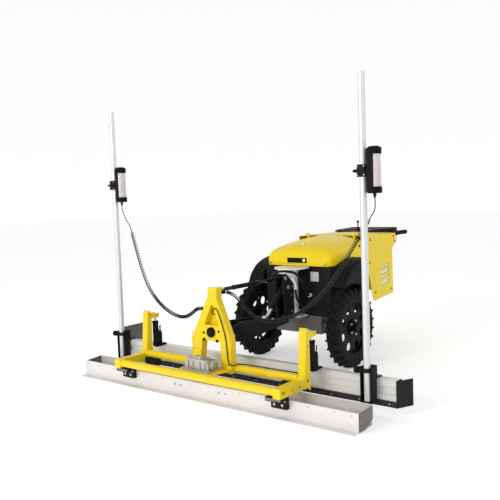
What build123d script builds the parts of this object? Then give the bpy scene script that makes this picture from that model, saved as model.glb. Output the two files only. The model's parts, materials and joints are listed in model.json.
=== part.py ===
"""Walk-behind laser power screed: a two-wheel tractor that carries a vibrating
levelling head with a strike-off plough, two masts and two laser receivers.

Frame: millimetres, +X to the machine's right seen from the head, +Y from the
head towards the tractor, +Z up. The origin is on the ground, under the middle
of the vibrating board.
"""
from build123d import *
from math import cos, pi, radians, sin, tan
import os

os.makedirs("parts", exist_ok=True)

# ---------------------------------------------------------------- driving sizes
BOARD_HALF = 1140        # half length of the vibrating board
BOARD_HALF_DEPTH = 75    # half the distance over the two flanges
BOARD_FRONT = 108        # height of the front flange
BOARD_REAR = 119         # height of the rear flange
BOARD_TOE = 47           # how far the sole stands out in front
PLOUGH_LEFT = 1150       # reach of the strike-off plough to each side of the middle
PLOUGH_RIGHT = 1200
PLOUGH_FACE_Y = 252      # front face of the plough
PLOUGH_BOTTOM = 62
PLOUGH_HEIGHT = 153
MAST_X = 1045
MAST_Y = 204
MAST_RADIUS = 20
MAST_BOTTOM = 92
MAST_TOP = 1932
FRAME_TUBE_RADIUS = 25
FRONT_TUBE = (-137, 165)   # y, z of the front frame tube
REAR_TUBE = (95, 188)      # y, z of the rear frame tube
SIDE_INNER = 648           # inner face of each side frame
SIDE_WIDTH = 50
UPRIGHT_TOP = 487
WHEEL_X = 414
WHEEL_Y = 1115
WHEEL_RADIUS = 296
BODY_HALF = 300            # half width of the hood
BODY_FRONT = 1055
HOOD_REAR = 1560
BODY_REAR = 2085
HOOD_BOTTOM = 740
HOOD_TOP = 945
DECK_Z = 366               # top of the chassis pan
LINK_LENGTH = 685          # all four bars of the lift linkage run this far
LOWER_PIVOT = (855, 370)   # y, z of the lower arm's pivot on the tractor
UPPER_PIVOT = (840, 670)   # y, z of the top link's pivot on the tractor
RUN_GAP = 0.05             # radial clearance of a running fit
LOOSE = 1.0                # radial clearance of the top link's head end

LOWER_HEAD = (LOWER_PIVOT[0] - LINK_LENGTH, LOWER_PIVOT[1])
UPPER_HEAD = (UPPER_PIVOT[0] - LINK_LENGTH, UPPER_PIVOT[1])


# ---------------------------------------------------------------- small helpers
def save(piece, name, colour):
    """Label a finished sub-part and write its STEP file."""
    piece.part.label = name
    piece.part.color = Color(*colour)
    export_step(piece.part, f"parts/{name}.step")


def slab(x, y, z, mode=Mode.ADD):
    """A box between pairs of planes, in the builder that is open."""
    with Locations(((x[0] + x[1]) / 2, (y[0] + y[1]) / 2, (z[0] + z[1]) / 2)):
        return Box(x[1] - x[0], y[1] - y[0], z[1] - z[0], mode=mode)


def bar(start, end, radius, mode=Mode.ADD):
    """A round bar from one point to another."""
    run = Vector(*end) - Vector(*start)
    with BuildSketch(Plane(origin=start, z_dir=run)) as section:
        Circle(radius)
    return extrude(section.sketch, amount=run.length, mode=mode)


def ring(start, end, outer, inner):
    """A tube from one point to another."""
    run = Vector(*end) - Vector(*start)
    with BuildSketch(Plane(origin=start, z_dir=run)) as section:
        Circle(outer)
        Circle(inner, mode=Mode.SUBTRACT)
    return extrude(section.sketch, amount=run.length)


def side_profile(points, x, mode=Mode.ADD):
    """An outline in Y and Z, as thick as the two X planes are apart."""
    with BuildSketch(Plane(origin=(x[0], 0, 0), x_dir=(0, 1, 0), z_dir=(1, 0, 0))) as outline:
        with BuildLine():
            Polyline(*points, close=True)
        make_face()
    return extrude(outline.sketch, amount=x[1] - x[0], mode=mode)


def front_profile(points, y, mode=Mode.ADD):
    """An outline in X and Z, as thick as the two Y planes are apart."""
    with BuildSketch(Plane(origin=(0, y[0], 0), x_dir=(1, 0, 0), z_dir=(0, -1, 0))) as outline:
        with BuildLine():
            Polyline(*points, close=True)
        make_face()
    return extrude(outline.sketch, amount=y[0] - y[1], mode=mode)


def cord_path(points):
    """Straight runs joined by arcs as large as each pair of runs allows."""
    corners = [Vector(*point) for point in points]
    radii = []
    for before, at, after in zip(corners, corners[1:], corners[2:]):
        turn = (at - before).get_angle(after - at)
        shorter = min((at - before).length, (after - at).length)
        radii.append(0.45 * shorter / tan(radians(turn) / 2))
    return corners, radii


def cord_tube(name, points, diameter, colour):
    """A plain tube along a cord's route, with its radii and volume printed."""
    corners, radii = cord_path(points)
    with BuildPart() as tube:
        with BuildLine() as route:
            FilletPolyline(*corners, radius=radii)
        start = Plane(origin=route.wire() @ 0, z_dir=route.wire() % 0)
        with BuildSketch(start):
            Circle(diameter / 2)
        sweep(path=route.wire())
    length = route.wire().length
    section = pi * diameter ** 2 / 4
    print(f"{name}: length {length:.0f}, least radius {min(radii):.0f},",
          f"volume over section x length {tube.part.volume / (section * length):.4f}")
    save(tube, name, colour)


YELLOW = (0.93, 0.74, 0.12)
BLACK = (0.07, 0.07, 0.08)
SILVER = (0.75, 0.74, 0.73)
STEEL = (0.5, 0.5, 0.5)
RUBBER = (0.04, 0.04, 0.04)
RED = (0.75, 0.08, 0.06)
CLEAR = (0.9, 0.6, 0.65)


# ---------------------------------------------------------------- vibrating board
SOLE = 6
WALL = 4
LIP = 12

front = -BOARD_HALF_DEPTH
rear = BOARD_HALF_DEPTH
toe = front - BOARD_TOE
board_outline = [
    (toe, 1), (toe + 4, 0), (rear, 0), (rear, BOARD_REAR), (rear - LIP, BOARD_REAR),
    (rear - LIP, BOARD_REAR - WALL), (rear - WALL, BOARD_REAR - WALL), (rear - WALL, SOLE),
    (front + WALL, SOLE), (front + WALL, BOARD_FRONT - WALL), (front + LIP, BOARD_FRONT - WALL),
    (front + LIP, BOARD_FRONT), (front, BOARD_FRONT), (front, SOLE), (toe + 6, SOLE), (toe, 4),
]
with BuildPart() as vibrating_board:
    side_profile(board_outline, (-BOARD_HALF, BOARD_HALF))
save(vibrating_board, "vibrating_board", SILVER)

END_PLATE = 5
end_outline = [
    (front + WALL, SOLE), (front + 70, SOLE), (rear, 44), (rear, BOARD_REAR - 3), (front + WALL, BOARD_FRONT - 3),
]
with BuildPart() as board_end_plates:
    for inner in (-BOARD_HALF - END_PLATE, BOARD_HALF):
        side_profile(end_outline, (inner, inner + END_PLATE))
save(board_end_plates, "board_end_plates", STEEL)

FRONT_MOUNT_X = 640        # centre of each rubber mount under the front tube
REAR_MOUNT_X = 590         # and of each one under the rear tube
MOUNT_HALF = 55
ARM_BOTTOM = 134           # underside of the side frames
with BuildPart() as board_mounts:
    for side in (-1, 1):
        span = (side * FRONT_MOUNT_X - MOUNT_HALF, side * FRONT_MOUNT_X + MOUNT_HALF)
        slab(span, (front - 26, front), (58, 112))
        slab(span, (FRONT_TUBE[0] - 20, front), (112, ARM_BOTTOM))
        span = (side * REAR_MOUNT_X - MOUNT_HALF, side * REAR_MOUNT_X + MOUNT_HALF)
        slab(span, (rear, rear + 26), (66, BOARD_REAR + 2))
        slab(span, (rear - 8, REAR_TUBE[0] + 20), (BOARD_REAR + 2, REAR_TUBE[1] - FRAME_TUBE_RADIUS))
save(board_mounts, "board_mounts", RUBBER)

BOLT_RADIUS = 7
BOLT_HEAD = 6
FLANGE_BOLTS = (-215, -165, 165, 215)      # x of the bolts that hold the board's inner ribs
with BuildPart() as board_bolts:
    for x in FLANGE_BOLTS:
        with BuildSketch(Plane(origin=(x, front, 70), z_dir=(0, -1, 0))):
            RegularPolygon(BOLT_RADIUS, 6)
        extrude(amount=BOLT_HEAD)
    for side in (-1, 1):
        for step in (-28, 28):
            with BuildSketch(Plane(origin=(side * FRONT_MOUNT_X + step, front - 26, 82), z_dir=(0, -1, 0))):
                RegularPolygon(BOLT_RADIUS + 2, 6)
            extrude(amount=BOLT_HEAD)
            with BuildSketch(Plane(origin=(side * REAR_MOUNT_X + step, rear + 26, 92), z_dir=(0, 1, 0))):
                RegularPolygon(BOLT_RADIUS + 2, 6)
            extrude(amount=BOLT_HEAD)
save(board_bolts, "board_bolts", STEEL)


# ---------------------------------------------------------------- head frame
TUBE_WALL = 4
COUPLING_X = (-415, 400)   # two clamped joints along the rear tube
with BuildPart() as front_tube:
    ring((-SIDE_INNER, *FRONT_TUBE), (SIDE_INNER, *FRONT_TUBE),
         FRAME_TUBE_RADIUS, FRAME_TUBE_RADIUS - TUBE_WALL)
save(front_tube, "front_tube", YELLOW)

FOOT_HALF = 172            # outer face of the tower's feet, where the rear tubes end
with BuildPart() as rear_tube:
    for side in (-1, 1):
        ring((side * FOOT_HALF, *REAR_TUBE), (side * SIDE_INNER, *REAR_TUBE),
             FRAME_TUBE_RADIUS, FRAME_TUBE_RADIUS - TUBE_WALL)
    for x in COUPLING_X:
        ring((x - 4, *REAR_TUBE), (x + 4, *REAR_TUBE), FRAME_TUBE_RADIUS + 2, FRAME_TUBE_RADIUS - 1)
save(rear_tube, "rear_tube", YELLOW)

ARM_FRONT = FRONT_TUBE[0] - 29
ARM_TOP = 192
UPRIGHT_FRONT = 105
UPRIGHT_REAR = 146
SHEET = 6
ACTUATOR_Y = 204           # the actuators' axis, behind the uprights
ACTUATOR_TOP = 444         # height of each actuator's upper pin
SLOT_HOLES = ((-115, 160), (118, 178))     # y, z of the slotted holes in each side


def side_frame(side):
    """Box arm from the front tube back to an upright channel that carries an actuator."""
    inner = side * SIDE_INNER
    outer = side * (SIDE_INNER + SIDE_WIDTH)
    span = (min(inner, outer), max(inner, outer))
    with BuildPart() as frame:
        side_profile([(ARM_FRONT, ARM_BOTTOM), (UPRIGHT_REAR - 30, ARM_BOTTOM), (UPRIGHT_REAR, ARM_BOTTOM - 20),
                      (UPRIGHT_REAR, UPRIGHT_TOP - 32), (UPRIGHT_REAR - 10, UPRIGHT_TOP - 10),
                      (UPRIGHT_REAR - 18, UPRIGHT_TOP), (UPRIGHT_FRONT + 18, UPRIGHT_TOP),
                      (UPRIGHT_FRONT + 6, UPRIGHT_TOP - 14), (UPRIGHT_FRONT - 14, ARM_TOP + 20),
                      (UPRIGHT_FRONT - 40, ARM_TOP), (ARM_FRONT, ARM_TOP)], span)
        inside = (span[0] + SHEET, span[1] - SHEET)
        slab(inside, (ARM_FRONT + SHEET, UPRIGHT_FRONT - 20), (ARM_BOTTOM + SHEET, ARM_TOP - SHEET),
             mode=Mode.SUBTRACT)
        slab(inside, (UPRIGHT_FRONT + 8, UPRIGHT_REAR + 1), (ARM_BOTTOM - 21, UPRIGHT_TOP - 22),
             mode=Mode.SUBTRACT)
        for y, z in SLOT_HOLES:
            with BuildSketch(Plane(origin=(span[0] - 1, y, z), x_dir=(0, 1, 0), z_dir=(1, 0, 0))):
                SlotOverall(30, 9, rotation=78)
            extrude(amount=SIDE_WIDTH + 2, mode=Mode.SUBTRACT)
        for x in (span[0], span[1] - SHEET):
            slab((x, x + SHEET), (UPRIGHT_REAR - 6, ACTUATOR_Y + 14),
                 (ACTUATOR_TOP - 16, ACTUATOR_TOP + 16))
        pin_span = (span[0] - 4, span[1] + 4)
        bar((pin_span[0], ACTUATOR_Y, ACTUATOR_TOP), (pin_span[1], ACTUATOR_Y, ACTUATOR_TOP), 6)
    return frame


left_side_frame = side_frame(-1)
save(left_side_frame, "left_side_frame", YELLOW)
right_side_frame = side_frame(1)
save(right_side_frame, "right_side_frame", YELLOW)


# ---------------------------------------------------------------- tower
TOWER_FOOT_Z = 186
TOWER_LEAN = 4.5           # degrees, back towards the tractor
TOWER_FOOT_Y = 42
TOWER_DEPTH = 52
TOWER_HEIGHT = 512
TOWER_BACK = 6
tower_plane = Plane(
    origin=(0, TOWER_FOOT_Y, TOWER_FOOT_Z), x_dir=(1, 0, 0),
    z_dir=(0, -cos(radians(TOWER_LEAN)), sin(radians(TOWER_LEAN))))


def on_tower(x, height, out):
    """A point that far up the tower's leaning front face, and that far out from it."""
    lean = radians(TOWER_LEAN)
    return (x, TOWER_FOOT_Y + height * sin(lean) - out * cos(lean),
            TOWER_FOOT_Z + height * cos(lean) + out * sin(lean))


def mirrored(half):
    """A closed outline from the points of its right half, bottom to top."""
    return half + [(-x, z) for x, z in reversed(half)]


with BuildPart() as tower:
    with BuildSketch(tower_plane):
        with BuildLine():
            Polyline(*mirrored([(170, 0), (164, 165), (150, 215), (47, 428), (37, 448), (37, TOWER_HEIGHT)]),
                     close=True)
        make_face()
        with BuildLine():
            Polyline(*mirrored([(94, -1), (76, 168)]), close=True)
        make_face(mode=Mode.SUBTRACT)
    extrude(amount=-TOWER_DEPTH)
    with BuildSketch(tower_plane):
        with BuildLine():
            Polyline(*mirrored([(62, 268), (8, 398)]), close=True)
        make_face()
    extrude(amount=-(TOWER_DEPTH - TOWER_BACK), mode=Mode.SUBTRACT)
    # floor plate under the exciter, and a foot under each leg for the rear tubes
    with BuildSketch(Plane.XY.offset(TOWER_FOOT_Z - 6)):
        with BuildLine():
            Polyline((-140, FRONT_TUBE[0] + 8), (140, FRONT_TUBE[0] + 8), (FOOT_HALF, 20),
                     (FOOT_HALF, 66), (-FOOT_HALF, 66), (-FOOT_HALF, 20), close=True)
        make_face()
    extrude(amount=6)
    bar((-150, *FRONT_TUBE), (150, *FRONT_TUBE), FRAME_TUBE_RADIUS, mode=Mode.SUBTRACT)
    for side in (-1, 1):
        slab((min(side * 100, side * FOOT_HALF), max(side * 100, side * FOOT_HALF)),
             (TOWER_FOOT_Y, REAR_TUBE[0] + 27), (160, 216))
    # lower lugs: two ears that carry the lower arm's pin
    lug_y = LOWER_HEAD[0]
    lug_z = LOWER_HEAD[1]
    for x in (-94, 76):
        side_profile([(55, lug_z - 34), (lug_y, lug_z - 24), (lug_y + 22, lug_z), (lug_y, lug_z + 24),
                      (80, lug_z + 44)], (x, x + 18))
        with BuildSketch(Plane(origin=(x - 1, lug_y, lug_z), x_dir=(0, 1, 0), z_dir=(1, 0, 0))):
            Circle(14 + RUN_GAP)
        extrude(amount=20, mode=Mode.SUBTRACT)
    # top ears and pin for the top link
    for x in (-26, 16):
        side_profile([(120, UPPER_HEAD[1] - 40), (UPPER_HEAD[0] + 15, UPPER_HEAD[1] - 14),
                      (UPPER_HEAD[0] + 15, UPPER_HEAD[1] + 16), (100, UPPER_HEAD[1] + 20)], (x, x + 10))
    bar((-26, *UPPER_HEAD), (26, *UPPER_HEAD), 8)
save(tower, "tower", YELLOW)

PLUG_Z = 222
with BuildPart() as tower_plug:
    with BuildSketch(tower_plane):
        with Locations((0, PLUG_Z)):
            Circle(33)
    extrude(amount=10)
    with BuildSketch(tower_plane.offset(10)):
        with Locations((0, PLUG_Z)):
            Circle(24)
    extrude(amount=3)
save(tower_plug, "tower_plug", BLACK)


# ---------------------------------------------------------------- exciter
EXCITER_Y = -46
EXCITER_HALF_X = 112
EXCITER_HALF_Y = 62
EXCITER_BOTTOM = TOWER_FOOT_Z
EXCITER_TOP = 262
SHAFT_Z = 224
SHAFT_RADIUS = 10
BORE = 30
with BuildPart() as exciter_housing:
    slab((-EXCITER_HALF_X, EXCITER_HALF_X), (EXCITER_Y - EXCITER_HALF_Y, EXCITER_Y + EXCITER_HALF_Y),
         (EXCITER_BOTTOM, EXCITER_BOTTOM + 14))
    front_profile([(-100, EXCITER_BOTTOM + 14), (-100, EXCITER_TOP - 30), (-84, EXCITER_TOP - 6),
                   (-60, EXCITER_TOP), (60, EXCITER_TOP), (84, EXCITER_TOP - 6), (100, EXCITER_TOP - 30),
                   (100, EXCITER_BOTTOM + 14)], (EXCITER_Y - 46, EXCITER_Y + 46))
    with BuildSketch(Plane(origin=(-90, EXCITER_Y, SHAFT_Z), x_dir=(0, 1, 0), z_dir=(1, 0, 0))):
        Circle(BORE)
    extrude(amount=180, mode=Mode.SUBTRACT)
save(exciter_housing, "exciter_housing", SILVER)

with BuildPart() as exciter_bearings:
    for x in (-90, 72):
        ring((x, EXCITER_Y, SHAFT_Z), (x + 18, EXCITER_Y, SHAFT_Z), BORE, SHAFT_RADIUS + RUN_GAP)
save(exciter_bearings, "exciter_bearings", STEEL)

with BuildPart() as exciter_shaft:
    bar((-88, EXCITER_Y, SHAFT_Z), (88, EXCITER_Y, SHAFT_Z), SHAFT_RADIUS)
    for x in (-50, 20):
        with BuildSketch(Plane(origin=(x, EXCITER_Y, SHAFT_Z), x_dir=(0, 1, 0), z_dir=(1, 0, 0))):
            Circle(26)
            with Locations((0, 20)):
                Rectangle(60, 24, mode=Mode.SUBTRACT)
        extrude(amount=30)
save(exciter_shaft, "exciter_shaft", STEEL)


# ---------------------------------------------------------------- plough
face = PLOUGH_FACE_Y
bottom = PLOUGH_BOTTOM
crown = PLOUGH_BOTTOM + PLOUGH_HEIGHT
PLOUGH_WALL = 5
plough_outline = [
    (face, bottom + 4), (face, bottom + 60), (face + 12, bottom + 72), (face + 12, bottom + 108),
    (face + 4, bottom + 116), (face + 4, crown - 6), (face + 10, crown), (face + 60, crown),
    (face + 60, crown - PLOUGH_WALL), (face + 17, crown - PLOUGH_WALL), (face + 17, bottom + 122),
    (face + 48, bottom + 112), (face + 48, bottom + 66), (face + 17, bottom + 56), (face + 17, bottom + 9),
    (face + 60, bottom + 9), (face + 60, bottom + 4),
]
with BuildPart() as plough_blade:
    side_profile(plough_outline, (-PLOUGH_LEFT, PLOUGH_RIGHT))
    slab((-PLOUGH_LEFT - 1, PLOUGH_RIGHT + 1), (face + 19, face + 42), (bottom + 74, bottom + 104),
         mode=Mode.SUBTRACT)
save(plough_blade, "plough_blade", SILVER)

with BuildPart() as plough_wear_strip:
    slab((-PLOUGH_LEFT, PLOUGH_RIGHT), (face - 8, face), (bottom, bottom + 34))
save(plough_wear_strip, "plough_wear_strip", STEEL)

with BuildPart() as left_end_plate:
    side_profile([(face - 4, bottom + 30), (face + 60, bottom + 6), (face + 350, bottom + 22),
                  (face + 350, 292), (face + 30, 292), (face - 4, crown)],
                 (-PLOUGH_LEFT - 6, -PLOUGH_LEFT))
save(left_end_plate, "left_end_plate", STEEL)

WING_LENGTH = 115
WING_SPLAY = 25
wing_plane = Plane(
    origin=(PLOUGH_RIGHT + 6, face - 4, bottom - 2),
    x_dir=(sin(radians(WING_SPLAY)), cos(radians(WING_SPLAY)), 0), z_dir=(0, 0, 1))
with BuildPart() as right_wing_plate:
    slab((PLOUGH_RIGHT, PLOUGH_RIGHT + 6), (face - 4, face + 60), (bottom - 2, crown))
    with BuildSketch(wing_plane):
        with Locations((WING_LENGTH / 2, 3)):
            Rectangle(WING_LENGTH, 6)
    extrude(amount=crown - bottom + 2)
save(right_wing_plate, "right_wing_plate", BLACK)

BRACKET_TOP = 292
BRACKET_HALF = 38
CLAMP_Z = 268
with BuildPart() as mast_brackets:
    for side in (-1, 1):
        x = side * MAST_X
        back = face - 8
        slab((x - BRACKET_HALF, x + BRACKET_HALF), (MAST_Y + MAST_RADIUS, back), (MAST_BOTTOM - 4, BRACKET_TOP))
        for flange in (-BRACKET_HALF, BRACKET_HALF - 5):
            slab((x + flange, x + flange + 5), (MAST_Y - 16, MAST_Y + MAST_RADIUS),
                 (MAST_BOTTOM - 4, BRACKET_TOP - 4))
        slab((x - BRACKET_HALF, x + BRACKET_HALF), (MAST_Y - 16, back), (MAST_BOTTOM - 12, MAST_BOTTOM - 4))
        slab((x - BRACKET_HALF, x + BRACKET_HALF), (back, face + 60), (crown, crown + 6))
        slab((x - BRACKET_HALF, x + BRACKET_HALF), (back, face), (crown, BRACKET_TOP))
        # clamp band round the front of the mast, with a boss for the hand knob
        with BuildSketch(Plane.XY.offset(CLAMP_Z - 12)):
            with Locations((x, MAST_Y)):
                Circle(MAST_RADIUS + 7)
                Circle(MAST_RADIUS, mode=Mode.SUBTRACT)
        extrude(amount=24)
        bar((x - MAST_RADIUS - 1, MAST_Y - 14, CLAMP_Z), (x - MAST_RADIUS - 22, MAST_Y - 14, CLAMP_Z), 10)
        with BuildSketch(Plane(origin=(x - MAST_RADIUS - 8, MAST_Y - 14, CLAMP_Z), z_dir=(-1, 0, 0))):
            Circle(5 + RUN_GAP)
        extrude(amount=20, mode=Mode.SUBTRACT)
save(mast_brackets, "mast_brackets", BLACK)

MAST_WALL = 3
with BuildPart() as masts:
    for side in (-1, 1):
        ring((side * MAST_X, MAST_Y, MAST_BOTTOM), (side * MAST_X, MAST_Y, MAST_TOP - 4),
             MAST_RADIUS, MAST_RADIUS - MAST_WALL)
        bar((side * MAST_X, MAST_Y, MAST_TOP - 4), (side * MAST_X, MAST_Y, MAST_TOP), MAST_RADIUS - 0.5)
save(masts, "masts", SILVER)


def hand_knob(name, x, y, z, wings):
    """Clamp screw along -X with a hand knob: star shaped, or two wings."""
    with BuildPart() as knob:
        bar((x, y, z), (x - 26, y, z), 5)
        if wings:
            bar((x - 14, y, z), (x - 30, y, z), 9)
            with BuildSketch(Plane(origin=(x - 18, y, z), z_dir=(-1, 0, 0))):
                SlotOverall(46, 13, rotation=90)
            extrude(amount=10)
        else:
            with BuildSketch(Plane(origin=(x - 15, y, z), z_dir=(-1, 0, 0))):
                Circle(20)
                with PolarLocations(22, 6):
                    Circle(5, mode=Mode.SUBTRACT)
            extrude(amount=26)
    save(knob, name, BLACK)


hand_knob("left_mast_knob", -MAST_X - MAST_RADIUS - 9, MAST_Y - 14, CLAMP_Z, False)
hand_knob("right_mast_knob", MAST_X - MAST_RADIUS - 9, MAST_Y - 14, CLAMP_Z, False)


# ---------------------------------------------------------------- actuators
ROD_RADIUS = 10
BODY_RADIUS = 21
ROD_END = 290              # lower end of each rod, inside its tube
TUBE_TOP = 398
TUBE_BOTTOM = 220
side_centre = SIDE_INNER + SIDE_WIDTH / 2
with BuildPart() as actuator_rods:
    for side in (-1, 1):
        x = side * side_centre
        bar((x, ACTUATOR_Y, ROD_END), (x, ACTUATOR_Y, ACTUATOR_TOP - 12), ROD_RADIUS)
        ring((x - 16, ACTUATOR_Y, ACTUATOR_TOP), (x + 16, ACTUATOR_Y, ACTUATOR_TOP), 15, 6)
save(actuator_rods, "actuator_rods", SILVER)

with BuildPart() as actuator_bodies:
    for side in (-1, 1):
        x = side * side_centre
        bar((x, ACTUATOR_Y, TUBE_BOTTOM), (x, ACTUATOR_Y, TUBE_TOP), BODY_RADIUS)
        with BuildSketch(Plane.XY.offset(TUBE_BOTTOM + 8)):
            with Locations((x, ACTUATOR_Y)):
                Circle(ROD_RADIUS + RUN_GAP)
        extrude(amount=TUBE_TOP - TUBE_BOTTOM, mode=Mode.SUBTRACT)
        slab((x - 18, x + 18), (ACTUATOR_Y - 8, face - 10), (TUBE_BOTTOM - 10, TUBE_BOTTOM + 6))
        slab((x - 18, x + 18), (face - 20, face + 40), (crown, TUBE_BOTTOM + 6))
        bar((x, ACTUATOR_Y + 38, TUBE_BOTTOM + 6), (x, ACTUATOR_Y + 38, TUBE_BOTTOM + 92), 17)
save(actuator_bodies, "actuator_bodies", BLACK)


# ---------------------------------------------------------------- receivers
RECEIVER_Z = (1265, 1515)
RECEIVER_OFFSET = 70       # from the mast's axis, towards +X
RECEIVER_RADIUS = 40
CAP = 36
RECEIVER_CLAMP_Z = 1392
for name, side in (("left_receiver", -1), ("right_receiver", 1)):
    x = side * MAST_X + RECEIVER_OFFSET
    with BuildPart() as receiver:
        bar((x, MAST_Y, RECEIVER_Z[0]), (x, MAST_Y, RECEIVER_Z[0] + CAP), RECEIVER_RADIUS)
        bar((x, MAST_Y, RECEIVER_Z[1] - CAP), (x, MAST_Y, RECEIVER_Z[1]), RECEIVER_RADIUS)
        bar((x, MAST_Y, RECEIVER_Z[0] + CAP), (x, MAST_Y, RECEIVER_Z[1] - CAP), 20)
        slab((x - 37, x - 12), (MAST_Y - 24, MAST_Y + 24), (RECEIVER_Z[0] + 6, RECEIVER_Z[1] - 6))
    save(receiver, name, BLACK)

with BuildPart() as receiver_windows:
    for side in (-1, 1):
        x = side * MAST_X + RECEIVER_OFFSET
        with BuildSketch(Plane.XY.offset(RECEIVER_Z[0] + CAP)):
            with Locations((x, MAST_Y)):
                Circle(36)
                Circle(33, mode=Mode.SUBTRACT)
                with Locations((-40, 0)):
                    Rectangle(58, 90, mode=Mode.SUBTRACT)
        extrude(amount=RECEIVER_Z[1] - RECEIVER_Z[0] - 2 * CAP)
save(receiver_windows, "receiver_windows", CLEAR)

with BuildPart() as receiver_clamps:
    for side in (-1, 1):
        x = side * MAST_X
        with BuildSketch(Plane.XY.offset(RECEIVER_CLAMP_Z - 34)):
            with Locations((x, MAST_Y)):
                RectangleRounded(56, 56, 8)
                Circle(MAST_RADIUS, mode=Mode.SUBTRACT)
        extrude(amount=68)
        slab((x + 24, x + RECEIVER_OFFSET - 37), (MAST_Y - 18, MAST_Y + 18),
             (RECEIVER_CLAMP_Z - 23, RECEIVER_CLAMP_Z + 23))
        with BuildSketch(Plane(origin=(x - MAST_RADIUS - 4, MAST_Y, RECEIVER_CLAMP_Z), z_dir=(-1, 0, 0))):
            Circle(5 + RUN_GAP)
        extrude(amount=30, mode=Mode.SUBTRACT)
save(receiver_clamps, "receiver_clamps", BLACK)
hand_knob("left_receiver_knob", -MAST_X - MAST_RADIUS - 5, MAST_Y, RECEIVER_CLAMP_Z, True)
hand_knob("right_receiver_knob", MAST_X - MAST_RADIUS - 5, MAST_Y, RECEIVER_CLAMP_Z, True)

RELIEF = 26
CABLE = 7
with BuildPart() as receiver_reliefs:
    for side in (-1, 1):
        x = side * MAST_X + RECEIVER_OFFSET
        with BuildSketch(Plane.XY.offset(RECEIVER_Z[0])):
            with Locations((x, MAST_Y)):
                Circle(11)
        with BuildSketch(Plane.XY.offset(RECEIVER_Z[0] - RELIEF)):
            with Locations((x, MAST_Y)):
                Circle(CABLE / 2 + 1.5)
        loft()
save(receiver_reliefs, "receiver_reliefs", BLACK)


# ---------------------------------------------------------------- receiver cords
CURL = 26                  # outer diameter of the curly part
left_x = -MAST_X + RECEIVER_OFFSET
right_x = MAST_X + RECEIVER_OFFSET
lead_top = RECEIVER_Z[0] - RELIEF
LEFT_LEAD = [
    (left_x, MAST_Y, lead_top), (left_x, 204, 1204), (-951, 203, 1164), (-926, 201, 1124), (-892, 198, 1092),
    (-874, 196, 1060),
]
LEFT_CURL = [
    (-874, 196, 1060), (-848, 194, 985), (-820, 192, 905), (-788, 189, 822), (-742, 184, 722),
    (-680, 178, 622), (-590, 169, 545), (-480, 157, 490), (-372, 145, 464), (-290, 134, 472),
    (-232, 126, 500), (-188, 119, 530), (-150, 113, 546), (-114, 108, 546),
]
RIGHT_LEAD = [
    (right_x, MAST_Y, lead_top), (right_x, 205, 1210), (1110, 214, 1180), (1092, 230, 1160), (1066, 244, 1136),
]
RIGHT_CURL = [
    (1066, 244, 1136), (1026, 251, 1082), (978, 251, 1010), (926, 247, 934), (878, 242, 852),
    (816, 236, 764), (740, 229, 676), (640, 219, 592), (530, 209, 524), (418, 200, 492), (330, 192, 490),
    (262, 184, 510), (208, 176, 552), (168, 168, 596), (142, 161, 630), (112, 155, 650), (78, 152, 661),
    (42, 152, 661),
]
cord_tube("left_lead", LEFT_LEAD, CABLE, BLACK)
cord_tube("left_curly_cord", LEFT_CURL, CURL, BLACK)
cord_tube("right_lead", RIGHT_LEAD, CABLE, BLACK)
cord_tube("right_curly_cord", RIGHT_CURL, CURL, BLACK)

# sockets on the tower that the curly cords plug into, in line with each cord's end
GLAND_RADIUS = 14


def gland(end, before, length):
    """A socket that carries on in the direction of a cord's last run."""
    run = (Vector(*end) - Vector(*before)).normalized()
    return bar(end, tuple(Vector(*end) + run * length), GLAND_RADIUS)


with BuildPart() as cord_glands:
    gland(LEFT_CURL[-1], LEFT_CURL[-2], 40)
    gland(RIGHT_CURL[-1], RIGHT_CURL[-2], 16)
    add(tower.part, mode=Mode.SUBTRACT)
save(cord_glands, "cord_glands", BLACK)

ACTUATOR_CABLE = [
    on_tower(2, 336, TOWER_BACK - TOWER_DEPTH), on_tower(2, 336, -22), on_tower(6, 347, 1), on_tower(16, 368, 12),
    on_tower(33, 384, 14), on_tower(54, 374, 12), on_tower(76, 330, 9), on_tower(104, 262, 8),
    on_tower(128, 198, 8), on_tower(140, 126, 7), on_tower(150, 64, 10), (172, 32, 216), (196, 52, 218),
    (214, 74, 224), (242, 91, 222), (300, 97, 219), (400, 93, 222), (500, 97, 219), (584, 95, 221),
    (SIDE_INNER, 95, 221),
]
cord_tube("actuator_cable", ACTUATOR_CABLE, CABLE, BLACK)


# ---------------------------------------------------------------- linkage
ARM_HALF = 62
ARM_PLATE = 14
CHEEK = 30                 # inner face of each cheek of the link bracket
CHEEK_OUTER = 42
PIN = 14
EYE_Y = 640                # pin on the lower arm that the lift cylinder pulls
EYE_Z = 400
with BuildPart() as lower_arm:
    for x in (-ARM_HALF, ARM_HALF - ARM_PLATE):
        side_profile([(LOWER_HEAD[0] - 16, 334), (LOWER_HEAD[0] - 16, 406), (200, 424), (330, 440), (480, 428),
                      (LOWER_PIVOT[0] + 4, 394), (LOWER_PIVOT[0] + 22, 376), (LOWER_PIVOT[0] + 14, 350),
                      (480, 318), (300, 306)], (x, x + ARM_PLATE))
    slab((-ARM_HALF, ARM_HALF), (340, 352), (330, 428))
    slab((-ARM_HALF, ARM_HALF), (560, 572), (334, 414))
    bar((-96, *LOWER_HEAD), (96, *LOWER_HEAD), PIN)
    bar((-ARM_HALF, *LOWER_PIVOT), (ARM_HALF, *LOWER_PIVOT), PIN)
    bar((-ARM_HALF, EYE_Y, EYE_Z), (ARM_HALF, EYE_Y, EYE_Z), 9)
save(lower_arm, "lower_arm", BLACK)

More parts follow.
